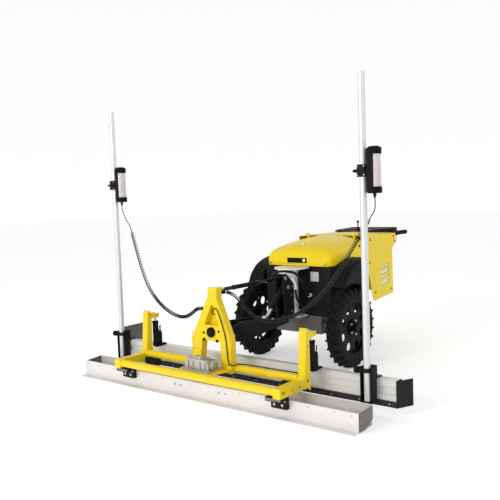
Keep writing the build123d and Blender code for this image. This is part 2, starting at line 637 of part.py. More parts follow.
LINK_RADIUS = 11
with BuildPart() as top_link:
    bar((0, UPPER_HEAD[0] + 16, UPPER_HEAD[1]), (0, UPPER_PIVOT[0] - 12, UPPER_PIVOT[1]), LINK_RADIUS)
    bar((0, 300, UPPER_HEAD[1]), (0, 560, UPPER_HEAD[1]), LINK_RADIUS + 4)
    with BuildSketch(Plane(origin=(-13, *UPPER_HEAD), x_dir=(0, 1, 0), z_dir=(1, 0, 0))):
        Circle(20)
    extrude(amount=26)
    with BuildSketch(Plane(origin=(-13, *UPPER_PIVOT), x_dir=(0, 1, 0), z_dir=(1, 0, 0))):
        Circle(18)
    extrude(amount=26)
    bar((-CHEEK_OUTER, *UPPER_PIVOT), (CHEEK_OUTER, *UPPER_PIVOT), 9)
    with BuildSketch(Plane(origin=(-14, *UPPER_HEAD), x_dir=(0, 1, 0), z_dir=(1, 0, 0))):
        Circle(8 + LOOSE)
    extrude(amount=28, mode=Mode.SUBTRACT)
save(top_link, "top_link", BLACK)

# lift cylinder: hangs from the link bracket and pulls the lower arm up
CYLINDER_BASE = (870, 600)
pull = Vector(0, EYE_Y - CYLINDER_BASE[0], EYE_Z - CYLINDER_BASE[1])
pull_length = pull.length
pull_way = pull.normalized()


def along_pull(distance):
    """A point that far down the lift cylinder from its upper pin."""
    point = Vector(0, *CYLINDER_BASE) + pull_way * distance
    return (point.X, point.Y, point.Z)


CYLINDER_END = 212
ROD_START = 150
with BuildPart() as lift_cylinder:
    bar((-26, *CYLINDER_BASE), (26, *CYLINDER_BASE), 20)
    bar(along_pull(10), along_pull(CYLINDER_END), 24)
    with BuildSketch(Plane(origin=along_pull(36), z_dir=pull_way)):
        Circle(11 + RUN_GAP)
    extrude(amount=CYLINDER_END, mode=Mode.SUBTRACT)
    bar((-CHEEK_OUTER, *CYLINDER_BASE), (CHEEK_OUTER, *CYLINDER_BASE), 9)
save(lift_cylinder, "lift_cylinder", BLACK)

with BuildPart() as lift_rod:
    bar(along_pull(ROD_START), along_pull(pull_length - 14), 11)
    with BuildSketch(Plane(origin=(-18, EYE_Y, EYE_Z), x_dir=(0, 1, 0), z_dir=(1, 0, 0))):
        Circle(22)
    extrude(amount=36)
    with BuildSketch(Plane(origin=(-19, EYE_Y, EYE_Z), x_dir=(0, 1, 0), z_dir=(1, 0, 0))):
        Circle(12.5)
    extrude(amount=38, mode=Mode.SUBTRACT)
save(lift_rod, "lift_rod", SILVER)


# ---------------------------------------------------------------- chassis
PAN_HALF = 205
PAN_REAR = 1800
TONGUE_HALF = 95           # the pan's narrow front, under the post
TONGUE_FRONT = 925
AXLE_FRONT = WHEEL_Y - 62
AXLE_REAR = WHEEL_Y + 66
SKIRT_BOTTOM = 335
with BuildPart() as chassis:
    slab((-TONGUE_HALF, TONGUE_HALF), (TONGUE_FRONT, AXLE_FRONT), (DECK_Z - 16, DECK_Z))
    slab((-PAN_HALF, PAN_HALF), (AXLE_FRONT, PAN_REAR), (DECK_Z - 6, DECK_Z))
    for x in (-PAN_HALF, PAN_HALF - 6):
        slab((x, x + 6), (AXLE_REAR, PAN_REAR), (SKIRT_BOTTOM, DECK_Z - 6))
    slab((-PAN_HALF + 6, PAN_HALF - 6), (PAN_REAR - 6, PAN_REAR), (SKIRT_BOTTOM, DECK_Z - 6))
save(chassis, "chassis", STEEL)

POST_Y = 985
POST_RADIUS = 44
with BuildPart() as front_post:
    bar((0, POST_Y, DECK_Z + 12), (0, POST_Y, 728), POST_RADIUS)
    slab((-TONGUE_HALF, TONGUE_HALF), (POST_Y - 48, POST_Y + 60), (DECK_Z, DECK_Z + 12))
    bar((0, POST_Y, 728), (0, POST_Y, 738), 130)
    bar((0, POST_Y, DECK_Z + 20), (0, POST_Y, 727), POST_RADIUS - 6, mode=Mode.SUBTRACT)
save(front_post, "front_post", SILVER)

# link bracket: two cheeks and a back plate, held off the post by two blocks
BRACKET_REAR = POST_Y - POST_RADIUS
with BuildPart() as link_bracket:
    for span in ((-CHEEK_OUTER, -CHEEK), (CHEEK, CHEEK_OUTER)):
        side_profile([(815, 650), (821, 690), (860, 696), (900, 660), (BRACKET_REAR, 640),
                      (BRACKET_REAR, DECK_Z + 12), (890, DECK_Z + 12), (880, 340), (840, 340), (826, 370),
                      (826, 500), (815, 560)], span)
    slab((-CHEEK, CHEEK), (BRACKET_REAR - 12, BRACKET_REAR), (DECK_Z + 14, 640))
    for z in (DECK_Z + 34, 560):
        slab((-34, 34), (BRACKET_REAR - 2, POST_Y), (z, z + 70))
    bar((0, POST_Y, DECK_Z + 14), (0, POST_Y, 700), POST_RADIUS, mode=Mode.SUBTRACT)
    for (y, z), radius in ((LOWER_PIVOT, PIN), (UPPER_PIVOT, 9), (CYLINDER_BASE, 9)):
        with BuildSketch(Plane(origin=(-CHEEK_OUTER - 1, y, z), x_dir=(0, 1, 0), z_dir=(1, 0, 0))):
            Circle(radius + RUN_GAP)
        extrude(amount=2 * CHEEK_OUTER + 2, mode=Mode.SUBTRACT)
save(link_bracket, "link_bracket", BLACK)

with BuildPart() as axle_housing:
    slab((-PAN_HALF, PAN_HALF), (AXLE_FRONT, AXLE_REAR), (232, DECK_Z - 6))
    for side in (-1, 1):
        hub = side * (WHEEL_X - 73)
        bar((side * PAN_HALF, WHEEL_Y, WHEEL_RADIUS), (hub, WHEEL_Y, WHEEL_RADIUS), 34)
        bar((hub, WHEEL_Y, WHEEL_RADIUS), (side * (WHEEL_X + 31), WHEEL_Y, WHEEL_RADIUS), 22)
save(axle_housing, "axle_housing", STEEL)


# ---------------------------------------------------------------- wheels
RIM_RADIUS = 200
HOLE_CIRCLE = 146
for name, side in (("left", -1), ("right", 1)):
    centre = side * WHEEL_X
    with BuildPart() as rim:
        ring((centre - 38, WHEEL_Y, WHEEL_RADIUS), (centre + 38, WHEEL_Y, WHEEL_RADIUS), RIM_RADIUS, 188)
        disc = Plane(origin=(centre + side * 14 - 5, WHEEL_Y, WHEEL_RADIUS), x_dir=(0, 1, 0), z_dir=(1, 0, 0))
        with BuildSketch(disc):
            Circle(189)
            with PolarLocations(HOLE_CIRCLE, 8, start_angle=22.5):
                Ellipse(34, 31, mode=Mode.SUBTRACT)
            with PolarLocations(166, 8):
                Circle(12, mode=Mode.SUBTRACT)
        extrude(amount=10)
        bar((centre - 30, WHEEL_Y, WHEEL_RADIUS), (centre + 30, WHEEL_Y, WHEEL_RADIUS), 62)
        bar((centre + side * 30, WHEEL_Y, WHEEL_RADIUS), (centre + side * 44, WHEEL_Y, WHEEL_RADIUS), 40)
        bar((centre - side * 31, WHEEL_Y, WHEEL_RADIUS), (centre + side * 35, WHEEL_Y, WHEEL_RADIUS),
            22 + RUN_GAP, mode=Mode.SUBTRACT)
    save(rim, f"{name}_rim", BLACK)
    with BuildPart() as tyre:
        with BuildSketch(Plane(origin=(centre, WHEEL_Y, WHEEL_RADIUS), x_dir=(1, 0, 0), z_dir=(0, 1, 0))):
            with BuildLine():
                Polyline((-40, RIM_RADIUS), (-50, 212), (-50, 262), (-40, 288), (-20, WHEEL_RADIUS),
                         (20, WHEEL_RADIUS), (40, 288), (50, 262), (50, 212), (40, RIM_RADIUS),
                         (30, 210), (30, 272), (-30, 272), (-30, 210), close=True)
            make_face()
        revolve(axis=Axis((centre, WHEEL_Y, WHEEL_RADIUS), (1, 0, 0)))
    save(tyre, f"{name}_tyre", RUBBER)


# ---------------------------------------------------------------- tractor body
SKIN = 4
body_x = (-BODY_HALF + 8, BODY_HALF - 8)
with BuildPart() as lower_body:
    slab(body_x, (BODY_FRONT + 5, 1600), (DECK_Z, HOOD_BOTTOM - 2))
    bar((0, POST_Y, 724), (0, POST_Y, HOOD_BOTTOM), 131, mode=Mode.SUBTRACT)
    slab((body_x[0] + SKIN, body_x[1] - SKIN), (BODY_FRONT + 5 + SKIN, 1601), (DECK_Z - 1, HOOD_BOTTOM),
         mode=Mode.SUBTRACT)
save(lower_body, "lower_body", BLACK)

FENDER_X = (304, 440)      # inner and outer face of each fender, just outside the hood
FENDER_REAR = 1338
MOUTH_RADIUS = 318         # the opening over the tyre, about the wheel's centre
fender_crown = [(1006, 600), (1031, 660), (1100, 733), (1141, 753), (1250, 784), (FENDER_REAR, 790)]
fender_hollow = [
    (1012, 580), (1035, 657), (1103, 729), (1143, 749), (1251, 780), (FENDER_REAR - SKIN, 786),
    (FENDER_REAR - SKIN, 500),
]
with BuildPart() as fenders:
    for side in (-1, 1):
        inner, outer = side * FENDER_X[0], side * FENDER_X[1]
        span = (min(inner, outer), max(inner, outer))
        side_profile(fender_crown + [(FENDER_REAR, 480), (1006, 560)], span)
        side_profile(fender_hollow, (span[0] + SKIN, span[1] - SKIN), mode=Mode.SUBTRACT)
        bar((span[0] - 1, WHEEL_Y, WHEEL_RADIUS), (span[1] + 1, WHEEL_Y, WHEEL_RADIUS), MOUTH_RADIUS,
            mode=Mode.SUBTRACT)
        web = side * (BODY_HALF - 8)
        slab((min(web, inner), max(web, inner)), (1080, FENDER_REAR - 20), (700, HOOD_BOTTOM - 4))
save(fenders, "fenders", BLACK)

PANEL_HALF = 322
HINGE_Z = HOOD_TOP + 6
HINGE_PIN = 3
COVER_EDGE = 930           # height of the panels' top edge, where the crowned cover ends
LOUVRES = ((538, 46), (582, 24), (626, 44), (668, 24))     # z and height of each louvre
panel_outline = [
    (1659, 405), (2005, 432), (1993, 806), (2089, 866), (2054, 928), (2046, COVER_EDGE),
    (HOOD_REAR + 6, COVER_EDGE), (HOOD_REAR + 6, 690),
]
cover_crown = [(-PANEL_HALF, COVER_EDGE), (-200, 939), (0, HOOD_TOP), (200, 939), (PANEL_HALF, COVER_EDGE)]
with BuildPart() as side_panels:
    for inner in (-PANEL_HALF, PANEL_HALF - SKIN):
        side_profile(panel_outline, (inner, inner + SKIN))
        for z, height in LOUVRES:
            with BuildSketch(Plane(origin=(inner - 1, 1865, z), x_dir=(0, 1, 0), z_dir=(1, 0, 0))):
                SlotOverall(150, height * 0.7, rotation=8)
            extrude(amount=SKIN + 2, mode=Mode.SUBTRACT)
save(side_panels, "side_panels", YELLOW)

with BuildPart() as rear_cover:
    side_profile([(1998, 440), (2002, 440), (1989, 808), (2084, 867), (2050, 928), (2040, HOOD_TOP),
                  (2034, HOOD_TOP), (2045, 926), (2076, 869), (1985, 811)],
                 (-PANEL_HALF + SKIN, PANEL_HALF - SKIN))
    front_profile([(x, z - SKIN) for x, z in cover_crown] + cover_crown[::-1], (HOOD_REAR + 6, 2040))
    front_profile(cover_crown + [(PANEL_HALF, 980), (-PANEL_HALF, 980)], (2030, 2060), mode=Mode.SUBTRACT)
    for side in (-1, 1):
        edge = side * (PANEL_HALF - SKIN)
        slab((min(edge, edge + side * SKIN), max(edge, edge + side * SKIN)), (HOOD_REAR, 2100),
             (900, COVER_EDGE + 1), mode=Mode.SUBTRACT)
    for x in (-250, 226):
        slab((x, x + 24), (HOOD_REAR + 2, HOOD_REAR + 32), (COVER_EDGE + 4, HINGE_Z - 2))
        bar((x, HOOD_REAR, HINGE_Z), (x + 24, HOOD_REAR, HINGE_Z), 5)
        bar((x - 1, HOOD_REAR, HINGE_Z), (x + 25, HOOD_REAR, HINGE_Z), HINGE_PIN + RUN_GAP, mode=Mode.SUBTRACT)
save(rear_cover, "rear_cover", BLACK)

# hood: crowned shell, open below and behind, on two hinge pins at its rear edge
hood_sections = [
    (BODY_FRONT + 1, 268, 800, 818), (BODY_FRONT + 40, 290, 842, 862), (BODY_FRONT + 150, 300, 868, 905),
    (BODY_FRONT + 320, 300, 888, 932), (HOOD_REAR, 304, 903, HOOD_TOP),
]       # y, half width, height of the shoulder and height of the crown


def hood_solid(shrink):
    """The hood's outer shape, or the same shape pulled in by the skin's thickness."""
    with BuildPart() as solid:
        for y, half, shoulder, crown_z in hood_sections:
            if y == hood_sections[0][0]:
                y += shrink
            width = half - shrink
            rise = crown_z - shoulder
            right = [(width, HOOD_BOTTOM - shrink), (width, shoulder - 44), (width * 0.96, shoulder - 16 - shrink),
                     (width * 0.85, shoulder - shrink), (width * 0.45, shoulder + rise * 0.72 - shrink)]
            left = [(-x, z) for x, z in reversed(right)]
            with BuildSketch(Plane(origin=(0, y, 0), x_dir=(1, 0, 0), z_dir=(0, -1, 0))):
                with BuildLine():
                    Polyline(*right, (0, crown_z - shrink), *left, close=True)
                make_face()
        loft(ruled=True)
    return solid.part


hood_outer = hood_solid(0)
hood_inner = hood_solid(SKIN)
with BuildPart() as hood:
    add(hood_outer)
    add(hood_inner, mode=Mode.SUBTRACT)
    for side in (-1, 1):
        bar((side * 206, HOOD_REAR, HINGE_Z), (side * 254, HOOD_REAR, HINGE_Z), HINGE_PIN)
        slab((min(side * 206, side * 222), max(side * 206, side * 222)), (HOOD_REAR - 16, HOOD_REAR + 3),
             (HOOD_TOP - 42, HINGE_Z + 3))
save(hood, "hood", YELLOW)

with BuildPart() as engine:
    slab((-150, 150), (1130, 1400), (DECK_Z, DECK_Z + 60))
    slab((-120, 120), (1150, 1380), (DECK_Z + 60, 640))
    for step in range(6):
        z = 470 + step * 26
        slab((-160, 160), (1180, 1350), (z, z + 8))
    bar((150, 1265, 470), (200, 1265, 470), 80)
    slab((-190, -130), (1200, 1340), (560, 660))
save(engine, "engine", STEEL)

with BuildPart() as fuel_tank:
    slab((-190, 190), (1625, 1790), (DECK_Z, 590))
    fillet(fuel_tank.edges().filter_by(Axis.Z), 40)
    bar((60, 1710, 590), (60, 1710, 616), 34)
save(fuel_tank, "fuel_tank", BLACK)


# ---------------------------------------------------------------- controls
CONSOLE_HALF = 292
CONSOLE_FRONT_HALF = 160
CONSOLE_Y = (1930, 2152)
console_outline = [
    (CONSOLE_Y[0], 915), (2046, 915), (2046, 943), (2090, 900), (CONSOLE_Y[1], 900), (CONSOLE_Y[1], 974),
    (1995, 963), (CONSOLE_Y[0], 948),
]
LEVER_Y = 2000
LEVER_Z = 953
HANDLE_X = 276
HANDLE_Z = 922
HANDLE_END = 2350
HANDLE_RADIUS = 15
STUB_START = 2112
STUB_RADIUS = 11           # the part of each handle that is held inside the console
STOP_BUTTON = (200, 950)   # x, z of the stop button on the console's rear face
STEM = 9
with BuildPart() as console:
    side_profile(console_outline, (-CONSOLE_HALF, CONSOLE_HALF))
    with BuildSketch(Plane.XY.offset(890)):
        with BuildLine():
            Polyline((-CONSOLE_FRONT_HALF, CONSOLE_Y[0]), (CONSOLE_FRONT_HALF, CONSOLE_Y[0]), (CONSOLE_HALF, 2100),
                     (CONSOLE_HALF, CONSOLE_Y[1]), (-CONSOLE_HALF, CONSOLE_Y[1]), (-CONSOLE_HALF, 2100), close=True)
        make_face()
    extrude(amount=100, mode=Mode.INTERSECT)
    front_profile(cover_crown + [(PANEL_HALF, 910), (-PANEL_HALF, 910)], (CONSOLE_Y[0] - 1, 2047),
                  mode=Mode.SUBTRACT)
    front_profile([(-CONSOLE_HALF - 1, 941), (-144, 971), (-144, 990), (-CONSOLE_HALF - 1, 990)],
                  (CONSOLE_Y[0] - 1, CONSOLE_Y[1] + 1), mode=Mode.SUBTRACT)
    slab((-9, 9), (LEVER_Y - 26, LEVER_Y + 26), (930, 1000), mode=Mode.SUBTRACT)
    with BuildSketch(Plane(origin=(-20, LEVER_Y, LEVER_Z), x_dir=(0, 1, 0), z_dir=(1, 0, 0))):
        Circle(4 + RUN_GAP)
    extrude(amount=40, mode=Mode.SUBTRACT)
    x, z = STOP_BUTTON
    bar((x, STUB_START, z), (x, CONSOLE_Y[1] + 1, z), STEM + RUN_GAP, mode=Mode.SUBTRACT)
    for side in (-1, 1):
        x = side * HANDLE_X
        bar((x, STUB_START, HANDLE_Z), (x, CONSOLE_Y[1], HANDLE_Z), STUB_RADIUS, mode=Mode.SUBTRACT)
save(console, "console", BLACK)

with BuildPart() as drive_lever:
    bar((-19, LEVER_Y, LEVER_Z), (19, LEVER_Y, LEVER_Z), 4)
    bar((0, LEVER_Y, LEVER_Z - 2), (0, LEVER_Y, 1024), 5)
    with Locations((0, LEVER_Y, 1028)):
        Sphere(11)
save(drive_lever, "drive_lever", BLACK)

with BuildPart() as emergency_button:
    x, z = STOP_BUTTON
    bar((x, STUB_START + 6, z), (x, CONSOLE_Y[1] + 10, z), STEM)
    bar((x, CONSOLE_Y[1] + 8, z), (x, CONSOLE_Y[1] + 18, z), 17)
save(emergency_button, "emergency_button", RED)

with BuildPart() as handlebars:
    for side in (-1, 1):
        x = side * HANDLE_X
        bar((x, STUB_START, HANDLE_Z), (x, CONSOLE_Y[1], HANDLE_Z), STUB_RADIUS)
        bar((x, CONSOLE_Y[1], HANDLE_Z), (x, HANDLE_END, HANDLE_Z), HANDLE_RADIUS)
save(handlebars, "handlebars", BLACK)

FRONT_HOSE = [
    (-CHEEK_OUTER, 900, 606), (-72, 900, 606), (-122, 904, 628), (-134, 911, 662), (-112, 920, 694), (-64, 927, 708),
    (0, 930, 710), (64, 938, 700), (96, 956, 654), (108, 978, 596), (112, 1002, 546), (112, 1030, 522),
    (112, 1060, 522),
]
cord_tube("front_hose", FRONT_HOSE, 18, RUBBER)
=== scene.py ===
import json
from math import ceil, cos, pi, radians, sin, tau

import bmesh
import bpy
from mathutils import Matrix, Vector


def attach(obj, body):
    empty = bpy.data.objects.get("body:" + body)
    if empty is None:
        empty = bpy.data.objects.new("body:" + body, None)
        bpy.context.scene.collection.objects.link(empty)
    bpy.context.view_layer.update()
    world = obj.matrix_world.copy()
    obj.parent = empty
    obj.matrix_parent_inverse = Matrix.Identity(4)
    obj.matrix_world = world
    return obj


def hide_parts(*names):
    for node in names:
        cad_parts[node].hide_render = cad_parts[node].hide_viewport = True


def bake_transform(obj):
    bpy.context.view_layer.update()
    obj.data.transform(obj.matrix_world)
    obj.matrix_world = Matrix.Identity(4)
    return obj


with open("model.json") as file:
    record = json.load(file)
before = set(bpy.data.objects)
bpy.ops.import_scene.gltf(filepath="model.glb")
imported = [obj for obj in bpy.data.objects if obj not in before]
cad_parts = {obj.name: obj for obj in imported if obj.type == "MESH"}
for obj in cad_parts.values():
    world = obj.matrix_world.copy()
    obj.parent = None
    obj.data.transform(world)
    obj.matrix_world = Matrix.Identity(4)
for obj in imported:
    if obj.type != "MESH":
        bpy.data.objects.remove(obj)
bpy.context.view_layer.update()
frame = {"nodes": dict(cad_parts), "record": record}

UP = (0, 0, 1)
RIGHT = (1, 0, 0)
REAR = (0, 1, 0)
FRONT = (0, -1, 0)
SIDES = (("left", -1), ("right", 1))


# ---------------------------------------------------------------- materials
MATERIALS = {}


def new_material(name):
    """An empty node material in MATERIALS: (its node tree, its Principled shader)."""
    material = bpy.data.materials.new(name)
    material.use_nodes = True
    MATERIALS[name] = material
    return material.node_tree, material.node_tree.nodes["Principled BSDF"]


def settle(node, values):
    """Constants on a node's input sockets."""
    for name, value in values.items():
        node.inputs[name].default_value = value
    return node


def object_noise(tree, scale, detail=4.0, stretch=(1, 1, 1), roughness=0.55):
    """Noise in the row frame, stretched along the axes; returns its Factor socket."""
    coords = tree.nodes.new("ShaderNodeTexCoord")
    mapping = settle(tree.nodes.new("ShaderNodeMapping"), {"Scale": stretch})
    noise = settle(tree.nodes.new("ShaderNodeTexNoise"),
                   {"Scale": scale, "Detail": detail, "Roughness": roughness})
    tree.links.new(coords.outputs["Object"], mapping.inputs["Vector"])
    tree.links.new(mapping.outputs["Vector"], noise.inputs["Vector"])
    return noise.outputs["Fac"]


def ramp(tree, source, stops):
    """A colour ramp over a grey socket; stops are (place, colour)."""
    node = tree.nodes.new("ShaderNodeValToRGB")
    elements = node.color_ramp.elements
    while len(elements) < len(stops):
        elements.new(0.5)
    for element, (place, colour) in zip(elements, stops):
        element.position = place
        element.color = (*colour, 1)
    tree.links.new(source, node.inputs["Fac"])
    return node.outputs["Color"]


def remap(tree, source, low, high):
    """A grey socket stretched to run from low to high."""
    node = settle(tree.nodes.new("ShaderNodeMapRange"),
                  {"From Min": 0.3, "From Max": 0.7, "To Min": low, "To Max": high})
    tree.links.new(source, node.inputs["Value"])
    return node.outputs["Result"]


def mix(tree, factor, first, second):
    """A colour mix; first and second are colours or sockets."""
    node = tree.nodes.new("ShaderNodeMix")
    node.data_type = "RGBA"
    tree.links.new(factor, node.inputs["Factor"])
    for place, value in (("A", first), ("B", second)):
        socket = next(s for s in node.inputs if s.name == place and s.type == "RGBA")
        if isinstance(value, tuple):
            socket.default_value = (*value, 1)
        else:
            tree.links.new(value, socket)
    return next(s for s in node.outputs if s.type == "RGBA")


def edge_wear(tree, low, high):
    """A mask that is 1 on convex edges and 0 on flats."""
    geometry = tree.nodes.new("ShaderNodeNewGeometry")
    mask = settle(tree.nodes.new("ShaderNodeMapRange"), {"From Min": low, "From Max": high})
    tree.links.new(geometry.outputs["Pointiness"], mask.inputs["Value"])
    return mask.outputs["Result"]


def bump(tree, shader, height, strength, distance):
    """A height socket as bump on the shader."""
    node = settle(tree.nodes.new("ShaderNodeBump"), {"Strength": strength, "Distance": distance})
    tree.links.new(height, node.inputs["Height"])
    tree.links.new(node.outputs["Normal"], shader.inputs["Normal"])


def paint(name, colour, shade, dust, rough=(0.26, 0.42), metallic=0.0, coat=0.35, peel=0.12, shine=0.5):
    """Painted metal: slow colour drift, dust in patches, worn edges and orange peel."""
    tree, shader = new_material(name)
    drift = object_noise(tree, 3.5)
    base = ramp(tree, drift, [(0.3, shade), (0.7, colour)])
    dirt = object_noise(tree, 26, detail=8, roughness=0.7)
    patches = ramp(tree, dirt, [(0.52, (0, 0, 0)), (0.8, (0.55, 0.55, 0.55))])
    dusty = mix(tree, patches, base, dust)
    rubbed = tuple(c * 0.9 + 0.015 for c in colour)
    worn = mix(tree, edge_wear(tree, 0.54, 0.68), dusty, rubbed)
    tree.links.new(worn, shader.inputs["Base Color"])
    tree.links.new(remap(tree, dirt, *rough), shader.inputs["Roughness"])
    settle(shader, {"Metallic": metallic, "Specular IOR Level": shine, "Coat Weight": coat,
                    "Coat Roughness": 0.12})
    bump(tree, shader, object_noise(tree, 420, detail=2), peel, 0.0006)


def metal(name, colour, shade, stretch, scale, rough, strength=0.2, distance=0.0004, metallic=0.85):
    """Bare metal with a grain that runs along the stretched axis, and dull patches."""
    tree, shader = new_material(name)
    grain = object_noise(tree, scale, detail=6, stretch=stretch)
    stains = object_noise(tree, 7, detail=6, roughness=0.65)
    base = ramp(tree, stains, [(0.3, shade), (0.68, colour)])
    streaked = mix(tree, ramp(tree, grain, [(0.35, (0, 0, 0)), (0.75, (0.35, 0.35, 0.35))]),
                   base, tuple(c * 0.7 for c in shade))
    tree.links.new(streaked, shader.inputs["Base Color"])
    tree.links.new(remap(tree, grain, *rough), shader.inputs["Roughness"])
    settle(shader, {"Metallic": metallic})
    bump(tree, shader, grain, strength, distance)


def moulded(name, colour, dust, rough, scale=700, strength=0.25, distance=0.0004, shine=0.25):
    """Moulded plastic or rubber: fine leathery texture, dust on top and rubbed edges."""
    tree, shader = new_material(name)
    dirt = object_noise(tree, 18, detail=8, roughness=0.68)
    patches = ramp(tree, dirt, [(0.5, (0, 0, 0)), (0.85, (0.5, 0.5, 0.5))])
    dusty = mix(tree, patches, colour, dust)
    rubbed = mix(tree, edge_wear(tree, 0.53, 0.7), dusty, tuple(c + 0.008 for c in colour))
    tree.links.new(rubbed, shader.inputs["Base Color"])
    tree.links.new(remap(tree, dirt, *rough), shader.inputs["Roughness"])
    settle(shader, {"Specular IOR Level": shine})
    bump(tree, shader, object_noise(tree, scale, detail=3), strength, distance)


def clear_tint(name, colour):
    """Tinted clear plastic tube with faint haze."""
    tree, shader = new_material(name)
    haze = object_noise(tree, 40, detail=5)
    shades = ramp(tree, haze, [(0.3, tuple(c * 0.9 for c in colour)), (0.7, colour)])
    tree.links.new(shades, shader.inputs["Base Color"])
    tree.links.new(remap(tree, haze, 0.05, 0.14), shader.inputs["Roughness"])
    settle(shader, {"Transmission Weight": 0.45, "IOR": 1.3})


paint("yellow_paint", (0.86, 0.64, 0.006), (0.79, 0.57, 0.005), (0.60, 0.45, 0.03), coat=0.05, shine=0.22)
paint("black_paint", (0.0045, 0.0045, 0.005), (0.0035, 0.0035, 0.004), (0.008, 0.008, 0.0075),
      rough=(0.42, 0.6), coat=0.0, shine=0.07)
# grey_paint: dark grey that the left end plate wears as painted shade
paint("grey_paint", (0.13, 0.125, 0.115), (0.10, 0.095, 0.085), (0.20, 0.19, 0.165), coat=0.0, shine=0.25)
paint("plough_silver", (0.78, 0.77, 0.74), (0.70, 0.69, 0.66), (0.56, 0.54, 0.50), metallic=0.2)
paint("mast_silver", (0.70, 0.70, 0.70), (0.64, 0.64, 0.64), (0.58, 0.57, 0.56), metallic=0.55)
metal("board_aluminium", (0.80, 0.77, 0.76), (0.72, 0.69, 0.68), (0.02, 1, 1), 240, (0.38, 0.55),
      metallic=0.3)
metal("cast_aluminium", (0.62, 0.60, 0.57), (0.42, 0.4, 0.38), (1, 1, 1), 160, (0.3, 0.52),
      strength=0.5, distance=0.001)
metal("dark_steel", (0.05, 0.048, 0.046), (0.028, 0.027, 0.026), (0.05, 1, 1), 180, (0.35, 0.6))
metal("zinc_steel", (0.6, 0.6, 0.58), (0.42, 0.42, 0.4), (1, 1, 1), 300, (0.25, 0.42))
metal("chrome_rod", (0.8, 0.8, 0.8), (0.68, 0.68, 0.68), (1, 1, 0.02), 300, (0.08, 0.2), strength=0.05)
moulded("rubber", (0.006, 0.006, 0.006), (0.015, 0.015, 0.014), (0.55, 0.75), shine=0.15)
moulded("tyre", (0.004, 0.004, 0.004), (0.009, 0.0088, 0.0085), (0.6, 0.85), scale=260, distance=0.0008,
        shine=0.14)
moulded("black_plastic", (0.0055, 0.0055, 0.006), (0.010, 0.010, 0.009), (0.40, 0.60), shine=0.08)
moulded("red_plastic", (0.6, 0.02, 0.015), (0.5, 0.1, 0.08), (0.2, 0.32), strength=0.05)
moulded("cable_jacket", (0.006, 0.006, 0.007), (0.014, 0.014, 0.013), (0.3, 0.46), scale=900, strength=0.15,
        shine=0.2)
clear_tint("clear_plastic", (0.96, 0.88, 0.89))


# ---------------------------------------------------------------- mesh helpers
def add_box(bm, low, high):
    """A box between two corners."""
    corners = [bm.verts.new((x, y, z)) for x in (low[0], high[0]) for y in (low[1], high[1])
               for z in (low[2], high[2])]
    for face in ((0, 1, 3, 2), (4, 6, 7, 5), (0, 4, 5, 1), (2, 3, 7, 6), (0, 2, 6, 4), (1, 5, 7, 3)):
        bm.faces.new([corners[i] for i in face])


def add_side_box(bm, side, near, far, low, high):
    """A box from near to far out on one side of the machine, between two (y, z) corners."""
    left, right = sorted((side * near, side * far))
    add_box(bm, (left, *low), (right, *high))


def across(axis):
    """Two unit vectors that make a right-handed set with the axis."""
    axis = Vector(axis).normalized()
    side = Vector((0, 0, 1)) if abs(axis.z) < 0.9 else Vector((1, 0, 0))
    first = axis.cross(side).normalized()
    return first, axis.cross(first).normalized()


def add_skin(bm, rows, closed=True):
    """Faces between neighbouring rows of vertices; closed also joins each row's end to its start."""
    for near, far in zip(rows, rows[1:]):
        count = len(near)
        for k in range(count if closed else count - 1):
            bm.faces.new((near[k], near[(k + 1) % count], far[(k + 1) % count], far[k]))


def add_caps(bm, rows):
    """Faces that close the first and the last row."""
    bm.faces.new(list(reversed(rows[0])))
    bm.faces.new(rows[-1])


def add_circle(bm, centre, first, second, radius, sides):
    """Vertices round a centre, in the plane of two unit vectors."""
    turns = [tau * k / sides for k in range(sides)]
    return [bm.verts.new(centre + (first * cos(t) + second * sin(t)) * radius) for t in turns]


def add_lathe(bm, origin, axis, profile, sides=32):
    """A turned shape: profile is a list of (distance along the axis, radius), capped at both ends."""
    origin = Vector(origin)
    axis = Vector(axis).normalized()
    first, second = across(axis)
    rings = [add_circle(bm, origin + axis * along, first, second, radius, sides) for along,
             radius in profile]
    add_skin(bm, rings)
    add_caps(bm, rings)


def add_ring(bm, origin, axis, profile, sides):
    """A closed outline of (distance along the axis, radius) turned all the way round."""
    origin = Vector(origin)
    axis = Vector(axis).normalized()
    first, second = across(axis)
    rings = []
    for i in range(sides):
        way = first * cos(tau * i / sides) + second * sin(tau * i / sides)
        rings.append([bm.verts.new(origin + axis * along + way * radius) for along, radius in profile])
    add_skin(bm, rings + rings[:1])


def add_bolt(bm, place, axis, size, height=None):
    """Hexagon head on a washer; size is the thread's diameter."""
    height = height or size * 0.65
    washer = size * 0.18
    rim = size * 0.06
    add_lathe(bm, place, axis, [(0, size), (washer - rim, size), (washer, size - rim)], 24)
    flats = size * 0.92
    head = [(washer, flats), (washer + height * 0.8, flats), (washer + height, flats * 0.86)]
    add_lathe(bm, place, axis, head, 6)


def add_on_both_sides(bm, x, places, profile, sides=20):
    """The same turned shape on the left and right faces, at every (y, z)."""
    for side in (-1, 1):
        for y, z in places:
            add_lathe(bm, (side * x, y, z), (side, 0, 0), profile, sides)


def add_prism(bm, outline, offset):
    """A flat outline of 3-D points pushed along an offset into a solid."""
    offset = Vector(offset)
    near = [bm.verts.new(p) for p in outline]
    far = [bm.verts.new(Vector(p) + offset) for p in outline]
    add_skin(bm, [near, far])
    add_caps(bm, [near, far])


